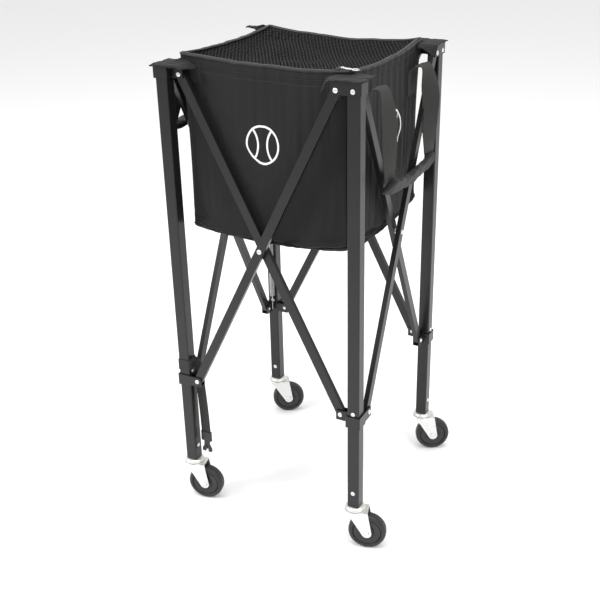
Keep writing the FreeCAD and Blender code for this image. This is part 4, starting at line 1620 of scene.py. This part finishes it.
@dataclass
class OpeningSpring:
    """Extension spring in front of the back-left leg, with a hook at each end."""

    x: float = -191.5
    y: float = 173.3
    radius: float = 5.2
    wire: float = 0.8
    low: float = 236.0
    high: float = 826.0
    pitch: float = 2.3

    def coil(self) -> Form:
        """Coil: (x + r cos a, y + r sin a, z) with z rising by the pitch each turn, then the hook."""
        turns = int((self.high - self.low) / self.pitch)
        a = np.linspace(0, 2 * math.pi * turns, turns * 12 + 1) + math.pi / 2
        path = np.stack((self.x + self.radius * np.cos(a), self.y + self.radius * np.sin(a),
                         np.linspace(self.low, self.high, len(a))), -1)
        end, top = self.y + self.radius, self.high
        hook = smooth_path([(self.x, end, top), (self.x + 0.2, end, top + 5),
                            (self.x, end, top + 9.5), (self.x, end + 2.0, top + 12),
                            (self.x, 183.4, self.high + 12.0)], 24)
        full = np.concatenate((path, hook[1:]))
        side = full * 0
        side[:len(path), 0], side[:len(path), 1] = np.cos(a), np.sin(a)
        side[len(path):] = (1, 0, 0)
        return tube(full, circle(self.wire, 6), side)

    def hook(self) -> Form:
        """Lower hook: a shank that slides inside the coil, bent to meet the collar's face."""
        z = 198.0
        path = smooth_path([(self.x, 180.4, z), (self.x, 177.0, z), (self.x, self.y + 0.6, z + 0.9),
                            (self.x, self.y, z + 4.0), (self.x, self.y, z + 30.0),
                            (self.x, self.y, 336.0)], 60)
        return tube(path, circle(self.wire, 10), (1, 0, 0))

    def build(self, maker: Maker) -> None:
        """Make the coil with its upper hook; the lower hook goes with the collar's rivets."""
        wire = Zinc("spring_wire", (0.55, 0.56, 0.57), roughness=0.22)
        maker.piece("opening_spring_coil", self.coil(), wire,
                    "leg_back_left", ["opening_spring"], "zinc", sharp=80)


@dataclass
class ZipSlider:
    """Black zip slider on the lid's edge at the front-right corner, with a bright pull and ring."""

    x: float = 152.0
    y: float = -168.6
    z: float = 877.4

    def build(self, maker: Maker) -> None:
        """Make the slider, its bridge and its pull."""
        x, y, z = self.x, self.y, self.z
        w = np.linspace(0, 1, 16)
        plate = np.stack((x - 6 + 12 * w, np.full(16, y), np.full(16, z + 1.0)), -1)
        sections = slab(8.6, 1.3, 0.6, 3)[None] * np.stack((0.72 + 0.28 * np.sin(w * math.pi * 0.8 + 0.4),
                                                             np.ones(16)), -1)[:, None]
        body = tube(plate, sections, (0, 1, 0)).joined(tube(plate + (0, 0, 3.0), sections, (0, 1, 0)))
        bridge = tube(smooth_path([(x - 4, y, z + 4), (x - 2.5, y, z + 6.4), (x + 1, y, z + 6.8),
                                   (x + 4, y, z + 4.4)], 20), slab(2.6, 1.2, 0.4, 3), (0, 1, 0))
        a = np.linspace(0, 2 * math.pi, 41)[:-1]
        eye = np.stack((x + 6.5 + 4.2 * np.cos(a), y + 3.2 * np.sin(a), z + 5.6 - 0.35 * np.cos(a)), -1)
        loop = tube(eye, circle(0.75, 10), (0, 0, 1), closed=True)
        line = smooth_path([(x + 10.2, y, z + 4.9), (x + 14, y + 0.6, z + 4.6), (x + 20, y + 0.2, z + 4.2),
                            (x + 24, y + 0.8, z + 3.9)], 30)
        swell = 1.0 + 0.25 * np.sin(np.linspace(0, 3.1, 30))[:, None, None]
        pull = tube(line, slab(6.4, 1.6, 0.7, 3)[None] * swell, (0, 1, 0))
        long, wide = 6.2 * np.cos(a), 5.4 * np.sin(a)
        hoop = np.stack((x + 29.6 + long, y + 0.8 + wide, z + 3.4 - 0.04 * long), -1)
        ring = tube(hoop, circle(0.95, 10), (0, 0, 1), closed=True)
        black = Moulded("black_slider", (0.006, 0.006, 0.006), roughness=0.22)
        nickel = Zinc("bright_nickel", (0.78, 0.78, 0.77), roughness=0.16)
        maker.piece("zip_slider_body", body.joined(bridge), black, "zip_slider", ["zip_pull"], "zinc",
                    sharp=50)
        maker.piece("zip_slider_pull", loop.joined(pull, ring), nickel, "zip_slider", slot="zinc", sharp=50)


# ------------------------------------------------------------------------------------------------
# Room
# ------------------------------------------------------------------------------------------------
@dataclass(frozen=True)
class SoftLight:
    """A square area light: where it hangs and looks, in metres, its side and its power in watts."""

    name: str
    at: tuple[float, float, float]
    aim: tuple[float, float, float]
    size: float
    power: float


@dataclass
class Studio:
    """Plain pale floor, soft lights and the camera.

    The paper's colour carries painted shade: it goes from its dim shade in front, towards the camera, to its
    bright shade behind, along y, from -start over the run given in paper_fade.
    """

    lens: float = 56.1
    shift: tuple[float, float] = (0.0079, -0.0484)
    eye: tuple[float, float, float] = (832.9, -1630.2, 1210.1)
    yaw: float = -28.003
    pitch: float = -23.699
    roll: float = -1.457
    sky: float = 0.86
    floor_half: float = 30.0
    # painted shade: the paper's darker colour in front, towards the camera, standing in for light falling off
    paper_dim: float = 0.70
    paper_bright: float = 0.94
    paper_fade: tuple[float, float] = (2.5, 1.6)
    lights: tuple[SoftLight, ...] = (
        SoftLight("above", (0.2, -0.2, 3.6), (0.0, 0.2, 0.0), 2.6, 70.0),
        SoftLight("key", (2.4, -1.4, 3.0), (0.0, 0.0, 0.5), 1.2, 36.0),
        SoftLight("front", (-2.2, -2.2, 2.8), (0.0, 0.0, 0.6), 1.0, 60.0))

    def _floor(self) -> None:
        """A wide pale floor under the wheels."""
        mesh = bpy.data.meshes.new("studio_floor")
        w = self.floor_half
        mesh.from_pydata([(-w, -w, 0), (w, -w, 0), (w, w, 0), (-w, w, 0)], [], [(0, 1, 2, 3)])
        ground = bpy.data.objects.new("studio_floor", mesh)
        bpy.context.scene.collection.objects.link(ground)
        paper = Graph("studio_paper", Roughness=0.9, Specular_IOR_Level=0.1)
        parts = paper.node("SeparateXYZ", None, {0: paper.node("TexCoord").outputs["Object"]})
        start, run = self.paper_fade
        far = ((Signal(paper, parts.outputs[1]) + start) / run).clamped()
        # Painted shade: the floor's colour darkens towards the camera (low y), standing in for the light's
        # falloff.
        paper.set("Base Color", paper.blend(far, (self.paper_dim,) * 3, (self.paper_bright,) * 3))
        mesh.materials.append(paper.material)

    @staticmethod
    def _light(soft: SoftLight) -> None:
        """Hang one soft light."""
        lamp = bpy.data.lights.new(soft.name, "AREA")
        lamp.shape, lamp.size, lamp.energy = "SQUARE", soft.size, soft.power
        holder = bpy.data.objects.new(soft.name, lamp)
        holder.location = soft.at
        holder.rotation_euler = (Vector(soft.aim) - Vector(soft.at)).to_track_quat("-Z", "Y").to_euler()
        bpy.context.scene.collection.objects.link(holder)

    def _camera(self) -> None:
        """The camera, built from its heading, pitch and roll."""
        yaw, pitch, roll = (math.radians(a) for a in (self.yaw, self.pitch, self.roll))
        forward = Vector((math.sin(yaw) * math.cos(pitch), math.cos(yaw) * math.cos(pitch), math.sin(pitch)))
        right = forward.cross(Vector((0, 0, 1))).normalized()
        up = right.cross(forward)
        right_r = right * math.cos(roll) + up * math.sin(roll)
        up_r = up * math.cos(roll) - right * math.sin(roll)
        data = bpy.data.cameras.new("studio_camera")
        data.lens, data.sensor_width = self.lens, 36.0
        data.shift_x, data.shift_y = self.shift
        data.clip_end = 100.0
        camera = bpy.data.objects.new("studio_camera", data)
        bpy.context.scene.collection.objects.link(camera)
        matrix = camera.matrix_world.to_3x3()
        matrix.col[0], matrix.col[1], matrix.col[2] = right_r, up_r, -forward
        camera.matrix_world = matrix.to_4x4()
        camera.location = Vector(row(self.eye))
        bpy.context.scene.camera = camera

    def build(self) -> None:
        """Make the room."""
        self._floor()
        for soft in self.lights:
            self._light(soft)
        world = bpy.data.worlds.new("studio_world")
        world.use_nodes = True
        world.node_tree.nodes["Background"].inputs[0].default_value = (1.0, 1.0, 1.0, 1.0)
        world.node_tree.nodes["Background"].inputs[1].default_value = self.sky
        bpy.context.scene.world = world
        bpy.context.scene.view_settings.view_transform = "Standard"
        self._camera()


def main() -> None:
    """Build the cart over its frame, piece by piece, then the room."""
    logging.basicConfig(level=logging.INFO, format="%(message)s", stream=sys.stdout)
    maker = Maker()
    spring = OpeningSpring()
    Steelwork().build(maker)
    Rivets().build(maker, spring.hook())
    for corner in Corner:
        Caster(corner).build(maker)
    basket = Basket()
    basket.build(maker)
    NetLid(basket).build(maker)
    CornerFlaps().build(maker, basket)
    CornerPatch().build(maker, basket)
    for handle in HANDLES:
        handle.build(maker, basket)
    StorageStrap().build(maker)
    spring.build(maker)
    ZipSlider().build(maker)
    Studio().build()


if __name__ == "__main__":
    main()
